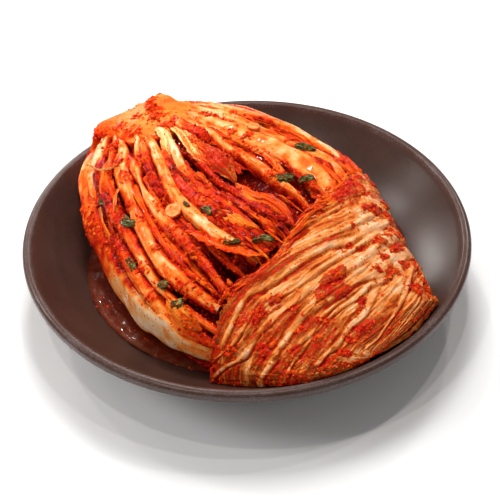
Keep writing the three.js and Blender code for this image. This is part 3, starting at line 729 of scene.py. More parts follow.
def stalk(thickness, stops, stains, seed):
    """One stalk along stops of (along, turn, half width). stains are its tone from the core to the fold."""
    u = np.linspace(0, 1, STALK_STEPS)
    at_core = np.maximum(0, 1 - 12 * u)
    route = along_route(stops, u)
    route[:, 0] -= STALK_TUCK * at_core
    run = route[:, 0] * 0.04 + seed * 13.7
    route[:, 1] += 0.9 * waver(run, seed) * ease(u, 0, 0.1)
    point, normal, across = beside_route(route)
    taper = 0.5 + 0.5 * np.minimum(1, np.minimum(6 * u + 0.2, 5 * (1 - u)))
    dip = 3.5 * np.maximum(0, 5 * u - 4) ** 2 + 4.0 * at_core + 0.9 * waver(run * 1.3 + 50)
    width = route[:, 2] * taper * (1.2 + 0.16 * waver(run * 1.8 + 9))
    width = width * (1 - 0.55 * in_gap(route[:, 0], route[:, 1], 1.5))
    run, width, half = run[:, None], width[:, None], (thickness / 2 * taper)[:, None]
    # Round the stalk: side is -1 at its left edge and 1 at its right, rise is 1 on its crest
    angle = np.linspace(0, 2 * math.pi, STALK_SIDES, endpoint=False)
    side, rise = np.cos(angle), np.sin(angle)
    side = np.sign(side) * np.abs(side) ** 0.75
    rise = np.sign(rise) * np.abs(rise) ** 0.7
    away = width * side
    grooves = 0.42 * drift(run * 0.9, 4 * side + seed * 3) + 0.16 * drift(run * 4, 9 * side)
    reach = (half + 1.2 + grooves) * np.where(rise > 0, rise, 0) + half * np.where(rise < 0, rise, 0)
    lean = 0.3 * waver(run * 0.5 + 77) * side * width
    middle = point - normal * (thickness / 2 + dip)[:, None]
    points = middle[:, None] + across[:, None] * away[..., None] + normal[:, None] * (reach + lean)[..., None]
    base = 0.06 + tone_along(stains, u) + 0.4 * np.maximum(0, 1 - 14 * u)
    edge = ease(np.abs(side), 0.62, 1.0) + np.where(rise < 0.1, 0.35, 0)
    streaks = grain(run * 1.1, 2.6 * side + seed * 5)
    blotch = ease(grain(run * 5 + 3, 2.2 * side + 60 + seed, 2), 0.05, 0.4)
    stain = base[:, None] + 0.3 * edge + 0.15 * streaks + 0.14 * drift(run * 5, 4 * side + 31)
    stain = stain + 0.16 * blotch
    # Paste lies on it in clumps and is packed along its sides
    clump = in_clump(route[:, :1], route[:, 1:2] + away / a_degree(route[:, 0], route[:, 1])[:, None])
    clump = ease(clump + 0.5 * knobbly(points + 70, 2.4), 0.25, 0.8)
    stain = stain + (0.62 + 0.24 * knobbly(points + 7, 1.1) - stain) * clump
    packed = np.maximum(ease(stain, 0.5, 0.85), clump * 1.4) * np.where(rise > -0.3, 1, 0)
    out = unit(points - middle[:, None])
    grown = packed * (0.5 + 1.1 * knobbly(points, 1.7)) + 0.14 * knobbly(points, 0.9)
    points = points + out * grown[..., None]
    stain = stain + packed * 0.25 * knobbly(points + 40, 1.4)
    landing.append((points, out, np.where(rise > 0, stain, 0)))
    length = np.concatenate([[0], np.cumsum(np.linalg.norm(np.diff(point, axis=0), axis=1))])
    return above_dish(points, 0.5), stain, (away / 0.5 + 50 * seed, length[:, None] / 11)


# Each stalk's name, its thickness, its route and its stains
STALKS = [
    ("rib_outer_left", 9.6,
     [(-106, -54, 5.5), (-79, -62, 6), (-38, -78, 7), (3, -86, 8.4), (40, -82, 9.4), (78, -76, 8.6)],
     [0.3, 0.22, 0.5, 0.62, 0.38, 0.1, 0.0, 0.05, 0.2]),
    ("rib_left_low", 8.0,
     [(-30, -64, 3.6), (-8, -66, 3.8), (20, -68, 3.8), (50, -69, 3.8), (78, -66, 3.4)],
     [0.8, 0.5, 0.3, 0.35, 0.5]),
    ("rib_left_high", 8.0,
     [(-94, -41, 3.6), (-74, -48, 3.6), (-52, -53, 3.4), (-10, -57, 3.2), (26, -59, 3.2), (73, -56, 3.4)],
     [0.6, 0.7, 0.8, 0.75, 0.4, 0.2, 0.3, 0.45]),
    ("rib_pale_broad", 9.6,
     [(-88, -27, 4), (-67, -37, 4.4), (-23, -46, 4.4), (20, -49, 4.6), (64, -44, 4.8)],
     [0.24, 0.08, 0.22, 0.32, 0.27, 0.25, 0.36, 0.22]),
    ("rib_orange_long", 9.0,
     [(-72, -28, 2.8), (-50, -32, 3.2), (-12, -35.5, 3.3), (20, -34, 3.2), (62, -35, 3.6)],
     [0.5, 0.3, 0.22, 0.4, 0.62, 0.45]),
    ("rib_red_short", 8.0,
     [(-80, -19, 2.6), (-60, -24, 2.6), (-40, -27.5, 2.6), (-18, -29, 2.6)],
     [0.35, 0.6, 0.75, 0.7]),
    ("rib_pale_long", 9.0,
     [(-76, -13, 3.4), (-52, -20, 3.7), (-17, -24, 3.9), (16, -22, 4), (54, -14, 3.6)],
     [0.12, 0.15, 0.25, 0.28, 0.3, 0.12, 0.25, 0.35]),
    ("rib_heart_low", 8.0,
     [(-46, -17, 2.6), (-20, -18, 2.7), (11, -15.5, 2.8), (52, -9, 2.6)],
     [0.5, 0.6, 0.65, 0.6]),
    ("rib_heart", 8.0,
     [(-75, -7, 3), (-36, -13, 3.4), (-8, -12, 3.2), (50, -5, 3)],
     [0.0, 0.1, 0.45, 0.5, 0.6, 0.55]),
    ("rib_shred_top", 8.0,
     [(-67, -1, 3.6), (-52, -1, 4), (-38, -0.5, 4), (-15, 0, 3.4)],
     [0.1, 0.35, 0.55, 0.6]),
    ("rib_shred_low", 8.0,
     [(-40, -6, 3), (-11, -6, 4), (8, -3, 4), (44, 1, 3.6)],
     [0.6, 0.66, 0.7, 0.75]),
    ("rib_bright_edge", 8.0,
     [(-78, 2.5, 2.6), (-58, 2, 2.6), (-36, 3.4, 2.9), (-12, 5.4, 3), (13, 6.4, 3), (42, 10, 3)],
     [0.15, 0.22, 0.32, 0.28, 0.3, 0.34, 0.45]),
    ("rib_slab", 9.6,
     [(-84, 6, 4.4), (-68, 6.8, 5.6), (-50, 10, 7), (-32, 14, 7.5), (-9, 19, 7.5), (22, 24, 7),
      (42, 29, 5.4)],
     [0.15, 0.2, 0.26, 0.26, 0.24, 0.24, 0.28, 0.4]),
    ("rib_top_orange", 9.0,
     [(-88, 13, 4), (-72, 16, 5), (-56, 20, 5), (-33, 25, 5), (4, 39, 5), (36, 44, 4.6)],
     [0.08, 0.14, 0.28, 0.3, 0.36, 0.35, 0.35]),
    ("rib_far_edge", 9.0,
     [(-90, 24, 4), (-76, 30, 4.5), (-62, 36, 4.5), (-43, 45, 4.6), (-11, 54, 4.6), (36, 60, 4.6)],
     [0.12, 0.16, 0.24, 0.3, 0.15, 0.12, 0.4]),
    ("rib_back_high", 8.0, [(-92, 52, 5), (-72, 66, 6), (-40, 76, 6.6), (0, 82, 7), (36, 82, 7)],
     [0.35, 0.3, 0.2, 0.3, 0.25, 0.35]),
    ("rib_back_low", 8.0,
     [(-90, 80, 6), (-60, 95, 7.5), (-20, 103, 8), (34, 104, 8)],
     [0.4, 0.3, 0.35, 0.3, 0.4]),
]
# Thinner stalks that show only near the core, between the longer ones
SHORT_STALKS = [
    ("short_stalk_1", 8.0,
     [(-106, -38, 3), (-96, -44, 4), (-86, -50, 4.4), (-74, -56, 4), (-60, -60, 3)],
     [0.2, 0.08, 0.15, 0.3, 0.6]),
    ("short_stalk_2", 7.0,
     [(-96, -30, 1.6), (-88, -35, 2), (-78, -40, 2), (-66, -45, 1.6)],
     [0.3, 0.35, 0.4, 0.6]),
    ("short_stalk_3", 7.0,
     [(-84, -19, 1.8), (-77, -22, 2.2), (-68, -25, 2), (-56, -28, 1.6)],
     [0.15, 0.1, 0.4, 0.7]),
    ("short_stalk_4", 7.0,
     [(-90, 19, 2), (-80, 22, 2.6), (-68, 26, 2.8), (-52, 31, 2.4)],
     [0.15, 0.2, 0.35, 0.5]),
    ("short_stalk_5", 8.0,
     [(-98, 24, 3), (-86, 28, 3.6), (-72, 31, 3.6), (-54, 35, 3)],
     [0.3, 0.3, 0.35, 0.5]),
    ("short_stalk_6", 8.0,
     [(-84, 0.3, 2.8), (-74, 0.3, 3.4), (-64, 0.3, 3.6), (-52, 0.4, 3)],
     [0.2, 0.4, 0.62, 0.7]),
]
for number, (name, thickness, stops, stains) in enumerate(STALKS + SHORT_STALKS):
    points, stain, way = stalk(thickness, stops, stains, number + 1)
    made = make_piece(
        name.replace("rib_", "stalk_"), from_head(points), grid_faces(STALK_STEPS, STALK_SIDES, closed=True),
        stalk_finish, stain, way, [name] if name.startswith("rib_") else (),
    )
    made.data.flip_normals()

# --- Folded outer leaf --------------------------------------------------------------------------------
# The big outer leaf, drawn over the far half and tucked under: thin wrinkled tissue, translucent orange
# brown, with pale veins that fan out of its midrib and paste rubbed in between them.

WRAP_TONES = [
    (0.0, (248, 208, 166)), (0.18, (240, 170, 116)), (0.34, (232, 142, 68)), (0.48, (212, 110, 42)),
    (0.6, (182, 76, 24)), (0.71, (160, 54, 16)), (0.8, (220, 50, 20)), (0.9, (200, 28, 18)),
    (1.0, (128, 10, 8)),
]
wrap_finish = wet_leaf(
    "folded_leaf", WRAP_TONES, lumps=0.38, flakes=0.14, gloss=0.4, wet=0.1, glow=0.12, mottle=0.34, grit=0.1,
    fibres=0.65,
)
# Its edge over the stalks, as its turn and how far along it lies there
WRAP_EDGE = [
    (-112, 86), (-84, 84), (-69, 82), (-57, 75), (-48, 70), (-39, 66), (-18, 63), (-7, 58), (-1, 51),
    (5, 43), (12, 39), (20, 36), (31, 31), (40, 26), (50, 22), (62, 18), (80, 14), (112, 16),
]
# Lines that its fibres follow, from the edge to the fold
FIBRES = [
    [(-112, 92), (-70, 82), (-41, 72), (-15, 66), (9, 64), (55, 60), (112, 58)],
    [(-112, 100), (-70, 94), (-43, 93), (-22, 89), (6, 79), (49, 72), (112, 66)],
    [(-112, 112), (-64, 108), (-37, 104), (-18, 99), (11, 89), (64, 78), (112, 74)],
    [(-112, 124), (-60, 122), (-22, 118), (10, 107), (44, 94), (80, 86), (112, 84)],
    [(-112, 130), (-30, 128), (4, 123), (36, 113), (70, 96), (112, 92)],
]
# Each vein as its half width at the midrib end and at the other, and its route of (along, turn)
VEINS = [
    (3.6, 1.3, [(77, 90), (80, 75), (83, 60), (90, 34), (95, 22), (94, 8), (96, -2), (97, -15),
                (100, -24), (104, -36), (106, -47), (109, -62), (109, -82), (110, -104)]),
    (2.6, 1.4, [(70, 60), (75, 40), (81, 23), (86, 8), (86, -4), (89, -16), (90, -30), (92, -41),
                (94, -50), (96, -61), (90, -76), (86, -87), (88, -108)]),
    (2.4, 1.5, [(56, 70), (63, 46), (66, 30), (69, 11), (67, 6), (68, 2), (70, -8), (72, -22),
                (71, -31), (75, -39), (79, -48), (82, -59)]),
    (2.4, 0.9, [(90, 50), (95, 34), (98, 24), (99, 14), (103, 3), (105, -6), (108, -19), (110, -34)]),
    (2.0, 0.9, [(94, 44), (97, 30), (100, 19), (107, 10), (113, 3), (116, -5), (120, -16), (122, -32),
                (124, -51)]),
    (2.2, 0.9, [(92, 58), (96, 49), (106, 38), (116, 24), (121, 16), (126, 8), (129, -4)]),
    (1.6, 0.8, [(92, 78), (102, 61), (116, 43), (122, 34), (129, 24)]),
    (2.2, 0.8, [(50, 60), (54, 45), (56, 40), (59, 29), (61, 17), (62, 8), (63, -4), (66, -16)]),
    (1.8, 0.8, [(65, 52), (71, 29), (74, 21), (77, 8), (78, 2), (80, -3), (82, -11), (82, -26)]),
    (1.3, 0.8, [(76, 50), (83, 26), (89, 14), (91, 6), (94, -2), (95, -12)]),
    (1.1, 0.8, [(38, 50), (40, 31), (42, 16), (44, 6), (48, -3), (53, -10)]),
    (1.1, 0.8, [(44, 24), (46, 14), (48, 3), (50, -1), (56, -12), (62, -24)]),
    (1.2, 0.8, [(95, 96), (106, 80), (114, 66), (122, 56), (128, 44)]),
    (1.2, 0.8, [(66, 110), (60, 90), (54, 76), (48, 62)]),
    (1.0, 0.7, [(98, 8), (101, -2), (104, -12), (112, -30), (115, -46), (118, -70)]),
    (1.0, 0.7, [(78, -30), (84, -42), (87, -56), (84, -70), (80, -84)]),
]
# Smooth pale flesh round the midrib: place, and length and width of each patch
WRAP_PALE = [
    (56, 40, 5, 10), (64, 36, 6, 16), (72, 32, 5, 16), (80, 46, 6, 14), (78, 20, 5, 12), (88, 36, 5, 12),
    (91, 14, 4, 10), (70, 8, 4, 10), (98, 28, 4, 8), (84, 8, 3, 8), (121, 40, 4, 7), (104, 4, 3, 8),
    (108, 30, 4, 6),
]
# Paste rubbed into it: place, and length and width of each patch
WRAP_PASTE = [
    (37, 32, 3, 5), (38, 25, 3, 4), (28, 23, 3, 4), (39, 44, 3, 5), (41, 53, 3, 5), (49, 39, 2, 4),
    (60, 22, 2, 2), (67, 54, 3, 5), (71, 44, 3, 4), (74, 35, 3, 5), (79, 53, 3, 4), (81, 44, 3, 5),
    (86, 32, 2, 4), (91, 22, 3, 4), (77, 19, 2, 3), (92, 47, 3, 5), (93, 56, 3, 5), (95, 32, 3, 4),
    (99, 26, 3, 4), (86, 3, 3, 4), (89, 0, 3, 4), (97, 1, 3, 3), (112, 44, 3, 5), (103, 60, 3, 6),
    (96, 60, 3, 6), (105, 6, 2, 3), (72, 14, 2, 2), (62, -39, 4, 6), (84, -33, 4, 6), (82, -22, 3, 4),
    (104, -26, 3, 4), (107, -13, 3, 3), (102, -45, 3, 4), (113, -25, 3, 3), (122, -9, 3, 4),
    (125, -22, 3, 4), (120, 1, 3, 3), (92, -19, 2, 3), (96, 2, 3, 3), (95, -7, 3, 3), (118, -66, 3, 4),
    (88, -62, 4, 5), (86, -90, 4, 6), (81, -43, 3, 5), (108, 44, 4, 6), (70, 62, 4, 6), (52, 48, 4, 7),
    (58, 62, 4, 7), (86, 74, 5, 8), (110, 62, 5, 8), (72, 86, 5, 8), (98, 84, 5, 8), (38, 15, 3, 5),
    (35, 23, 3, 6), (32, 31, 4, 6), (28, 40, 3, 6), (24, 52, 3, 6), (33, 47, 3, 5), (22, 64, 4, 6),
    (30, 66, 3, 5), (18, 78, 4, 6), (44, 10, 2, 4), (52, -2, 2, 3), (58, -8, 2, 4), (46, 66, 4, 5),
    (40, 76, 4, 6),
]
WRAP_ROWS = 190
WRAP_COLUMNS = 430
# How far below the leaf each row of its rolled edge lies
EDGE_DROPS = (6.0, 3.5, 1.8, 0.7)
share, turn = grid_of(np.linspace(0, 1, WRAP_ROWS), np.linspace(-112, 112, WRAP_COLUMNS))
frays = 1.6 * waver(turn * 0.16, 3) + 1.1 * waver(turn * 0.55, 9)
frays = frays + ease(turn, 64, 80) * (5 * waver(turn * 0.09, 14) + 2 * waver(turn * 0.3, 25))
edge = curve_at(WRAP_EDGE, turn) + frays
along = edge + (FOLD_END - 0.8 - edge) * np.sin(share * math.pi / 2)
point, normal = surface(along, turn)
# fibre counts the fibre lines that lie before a place
lines = [curve_at(stops, turn) for stops in FIBRES]
fibre = np.minimum(0, (along - lines[0]) / 11)
for before, after in zip(lines, lines[1:]):
    fibre = fibre + np.clip((along - before) / np.maximum(after - before, 1), 0, 1)
fibre = fibre + np.maximum(0, (along - lines[-1]) / 9)
vein, groove, crease = np.zeros((3, *along.shape))
for number, (wide, narrow, stops) in enumerate(VEINS):
    by_turn = [(at_turn, at_along) for at_along, at_turn in reversed(stops)]
    line = curve_at(by_turn, turn)
    slope = (curve_at(by_turn, turn + 1) - line) / 1.3
    span = (turn - stops[-1][1]) / (stops[0][1] - stops[-1][1])
    width = narrow + (wide - narrow) * np.clip(span, 0, 1) ** 1.3
    width = width * (1 + 0.3 * waver(turn * 0.09, 7 * number))
    aside = (along - line) / np.sqrt(1 + slope**2) / width
    inside = ease(span, -0.06, 0.05) * (1 - ease(span, 0.92, 1.06))
    strength = 0.62 + 0.38 * min(1, wide / 2)
    vein = np.maximum(vein, (1 - ease(np.abs(aside), 0.45, 1.25)) * inside * strength)
    groove = np.maximum(groove, hump(np.abs(aside), 1.7, 0.55) * inside)
    crease = np.maximum(crease, hump(aside, 1.5, 0.45) * inside)
vein = vein * np.clip(0.82 + 0.8 * grain(fibre * 2.4, turn * 0.13), 0.2, 1.0)
flesh = np.clip(soft_spots(WRAP_PALE, along, turn), 0, 1)
rubbed = 1.6 * soft_spots(WRAP_PASTE, along, turn) + 0.45 * groove
rubbed = rubbed + 0.9 * grain(fibre * 2.2, turn * 0.07, 4) + 0.9 * knobbly(point, 2.6) - 0.66
rubbed = ease(rubbed, 0.06, 0.62) * (1 - 0.5 * vein)
pleats = 1.5 * drift(fibre * 1.6 + 4, turn * 0.02) + 1.0 * drift(fibre * 3.4, turn * 0.035 + 8)
wrinkles = 0.75 * (1 - 2 * np.abs(drift(fibre * 6.5 + 0.5 * drift(turn * 0.1, fibre), turn * 0.05)))
fine_fibres = 0.3 * drift(fibre * 15, turn * 0.09) + 0.16 * drift(fibre * 30, turn * 0.2)
puckers = drift(fibre * 2.3 + 7, turn * 0.24 + 0.8 * drift(fibre, turn * 0.1))
puckers = 0.45 * (1 - 2 * np.abs(puckers)) + 0.5 * knobbly(point + 3, 5)
relief = 0.62 * pleats + 0.75 * wrinkles + puckers * (1 - 0.6 * flesh) + fine_fibres
relief = relief * (1 - 0.55 * vein) - 0.4 * groove - 0.9 * crease
settle = 1 - 0.7 * ease(share, 0.75, 1)
stands_up = 1 - 1.7 * ease(turn, -12, 12)
curl = 2.2 * np.exp(-share / 0.035) * (0.7 + 0.5 * waver(turn * 0.2, 20)) * stands_up
corner = soft_spots([(120, 78, 16, 30)], along, turn)
shoulder = soft_spots([(14, 74, 40, 24)], along, turn)
lift = 1.0 - 6.0 * corner + 3.6 * shoulder + 0.7 * vein + relief * settle
lift = lift + 0.8 * rubbed * (0.6 + 1.2 * knobbly(point, 1.7)) + curl
wrap_points = point + normal * lift[..., None]
tip = np.array([FOLD_END, 0.0, 45.0])
closing = (0.75 * ease(share, 0.84, 1))[..., None]
wrap_points = above_dish(wrap_points * (1 - closing) + tip * closing)
wrap_stain_and_shade = 0.42 + 0.14 * drift(fibre * 4, turn * 0.05 + 60) + 0.18 * drift(fibre * 11, turn * 0.1)
wrap_stain_and_shade = wrap_stain_and_shade + 0.2 * grain(along * 0.09, turn * 0.06 + 30, 2)
wrap_stain_and_shade = wrap_stain_and_shade + 0.16 * drift(fibre * 27, turn * 0.25)
# Painted shade: the fold's lower side, towards the front where turn is below 0, is painted darker.
wrap_stain_and_shade = wrap_stain_and_shade + 0.16 * crease + 0.1 * ease(along, 96, 125) + 0.14 * ease(-turn, 5, 50)
wrap_stain_and_shade = wrap_stain_and_shade - 0.22 * flesh + 0.14 * hump(along, edge, 12)
wrap_stain_and_shade = wrap_stain_and_shade * (1 - vein) + (0.24 - 0.1 * flesh + 0.14 * drift(fibre * 5, turn * 0.08)) * vein
wrap_stain_and_shade = wrap_stain_and_shade + (0.88 + 0.1 * knobbly(point + 20, 1.5) - wrap_stain_and_shade) * rubbed**0.8
landing.append((wrap_points, normal, wrap_stain_and_shade))
rows = len(EDGE_DROPS)
rolled = [above_dish(point[0] + normal[0] * (lift[0] - drop)[:, None]) for drop in EDGE_DROPS]
wrap_points = np.concatenate([np.stack(rolled), wrap_points])
wrap_stain_and_shade = np.concatenate([np.full((rows, WRAP_COLUMNS), 0.62), wrap_stain_and_shade])
way = [np.concatenate([counts[:rows], counts]) for counts in (fibre * 26, turn * 0.13)]
make_piece(
    "folded_leaf", from_head(wrap_points), grid_faces(WRAP_ROWS + rows, WRAP_COLUMNS), wrap_finish,
    wrap_stain_and_shade, way, ["wrap_leaf"],
)

# --- Shredded leaf --------------------------------------------------------------------------------------
# Limp strips of inner leaf between the stalks, a few millimetres wide, half buried in the paste and running
# the way the stalks run. They are twisted, ruffled at the edges, and stained through.

SHRED_TONES = [
    (0.0, (246, 176, 78)), (0.25, (242, 128, 34)), (0.5, (231, 76, 12)), (0.75, (198, 33, 13)),
    (1.0, (106, 9, 6)),
]
shred_finish = wet_leaf(
    "shredded_leaf", SHRED_TONES, lumps=0.5, flakes=0.35, gloss=0.4, wet=0.08, glow=0.08, mottle=0.34,
    grit=0.1, fibres=0.6,
)
SHRED_COUNT = 400
TOP_SHRED_COUNT = 60
SHRED_STEPS = 26
SHRED_COLUMNS = 7
PALEST_SHRED = 0.36
# Routes of the stalks that shreds and paste lie between
RUNS = [
    stops for name, _, stops, _ in STALKS
    if name not in ("rib_left_low", "rib_red_short", "rib_heart_low", "rib_shred_top", "rib_shred_low")
]


def tipped(across, normal, tip):
    """The directions across and out, tipped sideways together by an angle at each point."""
    c, s = np.cos(tip)[:, None], np.sin(tip)[:, None]
    return across * c + normal * s, normal * c - across * s


def ribbon(route, depth, width, seed, tone, roll=0.0):
    """A limp strip along a route of (along, turn), its middle a depth under the head's outside."""
    u = np.linspace(0, 1, len(route))
    point, normal, across = beside_route(route)
    out, face = tipped(across, normal, roll + 1.1 * waver(u * 2.2 + seed, 3 * seed))
    wide = width * (0.35 + 0.65 * np.minimum(1, np.minimum(6 * u, 6 * (1 - u))))
    wide = wide * (1 + 0.3 * waver(u * 5 + 9 * seed))
    sag = depth + 1.2 * waver(u * 2.5 + 30 * seed) + 2.5 * np.maximum(0, np.abs(2 * u - 1) - 0.75) / 0.25
    u, wide = u[:, None], wide[:, None]
    side = np.linspace(-1, 1, SHRED_COLUMNS)
    ruffle = 0.5 * side**2 * drift(u * 9 + seed, side * 1.5 + 5 * seed)
    crown = 0.42 * (1 - side**2) * wide + ruffle + 0.22 * drift(u * 3, side * 5 + seed)
    points = point[:, None] - normal[:, None] * sag[:, None, None]
    points = points + out[:, None] * (wide * side)[..., None] + face[:, None] * crown[..., None]
    stain = max(tone, PALEST_SHRED) + 0.3 * grain(u * 4 + seed, side * 2.5 + seed, 2) + 0.12 * np.abs(side)
    way = (wide * side / 0.45 + 7 * seed, np.broadcast_to(u * 3, stain.shape))
    return above_dish(points, 0.5), face[:, None], stain, way


def strewn(name, strips):
    """One piece out of many strips, each its points, directions, stains and fibre counts."""
    landing.extend(strip[:3] for strip in strips)
    points, _, stains, ways = map(np.array, zip(*strips))
    starts = np.arange(len(strips)) * SHRED_STEPS * SHRED_COLUMNS
    faces = grid_faces(SHRED_STEPS, SHRED_COLUMNS) + starts[:, None, None]
    faces = faces.reshape(-1, 4)
    make_piece(name, from_head(points), faces, shred_finish, stains, ways.swapaxes(0, 1))


shreds = []
while len(shreds) < SHRED_COUNT:
    pair = CHANCE.integers(0, len(RUNS) - 1)
    start = CHANCE.uniform(0.02, 0.8)
    reach = CHANCE.uniform(0.12, 0.32)
    u = np.linspace(start, min(1, start + reach), SHRED_STEPS)
    one, other = along_route(RUNS[pair], u), along_route(RUNS[pair + 1], u)
    apart = np.linalg.norm(outline(one[:, 0], one[:, 1]) - outline(other[:, 0], other[:, 1]), axis=1)
    near, far = 1.1 * one[:, 2] / apart, 1 - 1.1 * other[:, 2] / apart
    between = near + (far - near) * CHANCE.uniform(0.05, 0.95)
    route = one + (other - one) * between[:, None]
    middle = route[SHRED_STEPS // 2]
    if in_gap(route[:, 0], route[:, 1], 1.3).max() > 0.3:
        continue
    tone = 0.65 + 0.2 * CHANCE.normal() - 0.15 * hump(middle[0], -60, 30)
    tone = tone + 0.1 * float(ease(-middle[1], 40, 55))
    depth = CHANCE.uniform(0.6, 5.5)
    shreds.append(ribbon(route[:, :2], depth, CHANCE.uniform(0.8, 2.6), CHANCE.uniform(0, 90), tone))
# A few more lie on top in the middle of the head
while len(shreds) < SHRED_COUNT + TOP_SHRED_COUNT:
    start = np.array([CHANCE.uniform(-52, 40), CHANCE.uniform(-17, 1)])
    stop = start + [CHANCE.uniform(12, 26), CHANCE.uniform(-1, 4)]
    route = start + (stop - start) * np.linspace(0, 1, SHRED_STEPS)[:, None]
    if in_gap(route[:, 0], route[:, 1], 1.3).max() < 0.3:
        depth, width, seed = CHANCE.uniform(-0.8, 1.5), CHANCE.uniform(0.8, 2.8), CHANCE.uniform(0, 90)
        shreds.append(ribbon(route, depth, width, seed, 0.62 + 0.2 * CHANCE.normal()))
strewn("shredded_leaf", shreds)

# --- Inner leaves ---------------------------------------------------------------------------------------
# Leaves and ribs of the heart that have come loose and lie over their neighbours: broad limp ones with
# ruffled edges, narrow curled tongues, and one pale rib deep in a gap.

HEART_TONES = [
    (0.0, (246, 220, 168)), (0.2, (244, 192, 112)), (0.42, (240, 132, 52)), (0.65, (226, 64, 18)),
    (1.0, (160, 18, 12)),
]
heart_finish = wet_leaf(
    "heart_leaf", HEART_TONES, lumps=0.35, flakes=0.3, gloss=0.3, wet=0.12, glow=0.15, mottle=0.34, grit=0.2,
    fibres=0.7,
)
LEAF_STEPS = 60
LEAF_COLUMNS = 22
FRAY_COUNT = 90


def leaf(name, finish, stains, roll, cup, ruffle, stops, seed):
    """A loose leaf through stops of (along, turn, half width, depth). roll tips it, and cup hollows it."""
    u = np.linspace(0, 1, LEAF_STEPS)
    route = along_route(stops, u)
    route[:, 1] += 0.6 * waver(u * 4 + seed)
    point, normal, across = beside_route(route)
    out, face = tipped(across, normal, roll + 0.35 * waver(u * 2 + seed, 4))
    tones = tone_along(stains, u)[:, None]
    u, half, depth = u[:, None], route[:, 2:3], route[:, 3:4]
    side = np.linspace(-1, 1, LEAF_COLUMNS)
    edge = np.sign(side) * 7 + seed
    torn = 1 + (0.16 * drift(u * 9 + seed, edge) + 0.14 * drift(u * 24 + seed, edge)) * side**2
    torn = torn * np.minimum(1, np.minimum(4 * u + 0.3, 4 * (1 - u) + 0.3))
    away = half * torn * side
    rise = -cup * half * side**2 + 0.9 * hump(side, 0, 0.16) * (1 - u)
    rise = rise + ruffle * side**2 * drift(u * 9 + seed, side * 1.3 + seed)
    rise = rise + 0.5 * drift(u * 4, side * 7 + seed) - depth
    points = point[:, None] + out[:, None] * away[..., None] + face[:, None] * rise[..., None]
    stain = tones + 0.28 * grain(u * 4 + seed, side * 3 + seed) - 0.1 * hump(side, 0, 0.2)
    points = points + face[:, None] * (ease(stain, 0.45, 0.75) * 1.3 * knobbly(points, 2.2))[..., None]
    landing.append((points, face[:, None], stain))
    make_piece(
        name, from_head(above_dish(points, 0.5)), grid_faces(LEAF_STEPS, LEAF_COLUMNS), finish, stain,
        (away / 0.45 + 9 * seed, np.broadcast_to(u * 4, stain.shape)),
    )


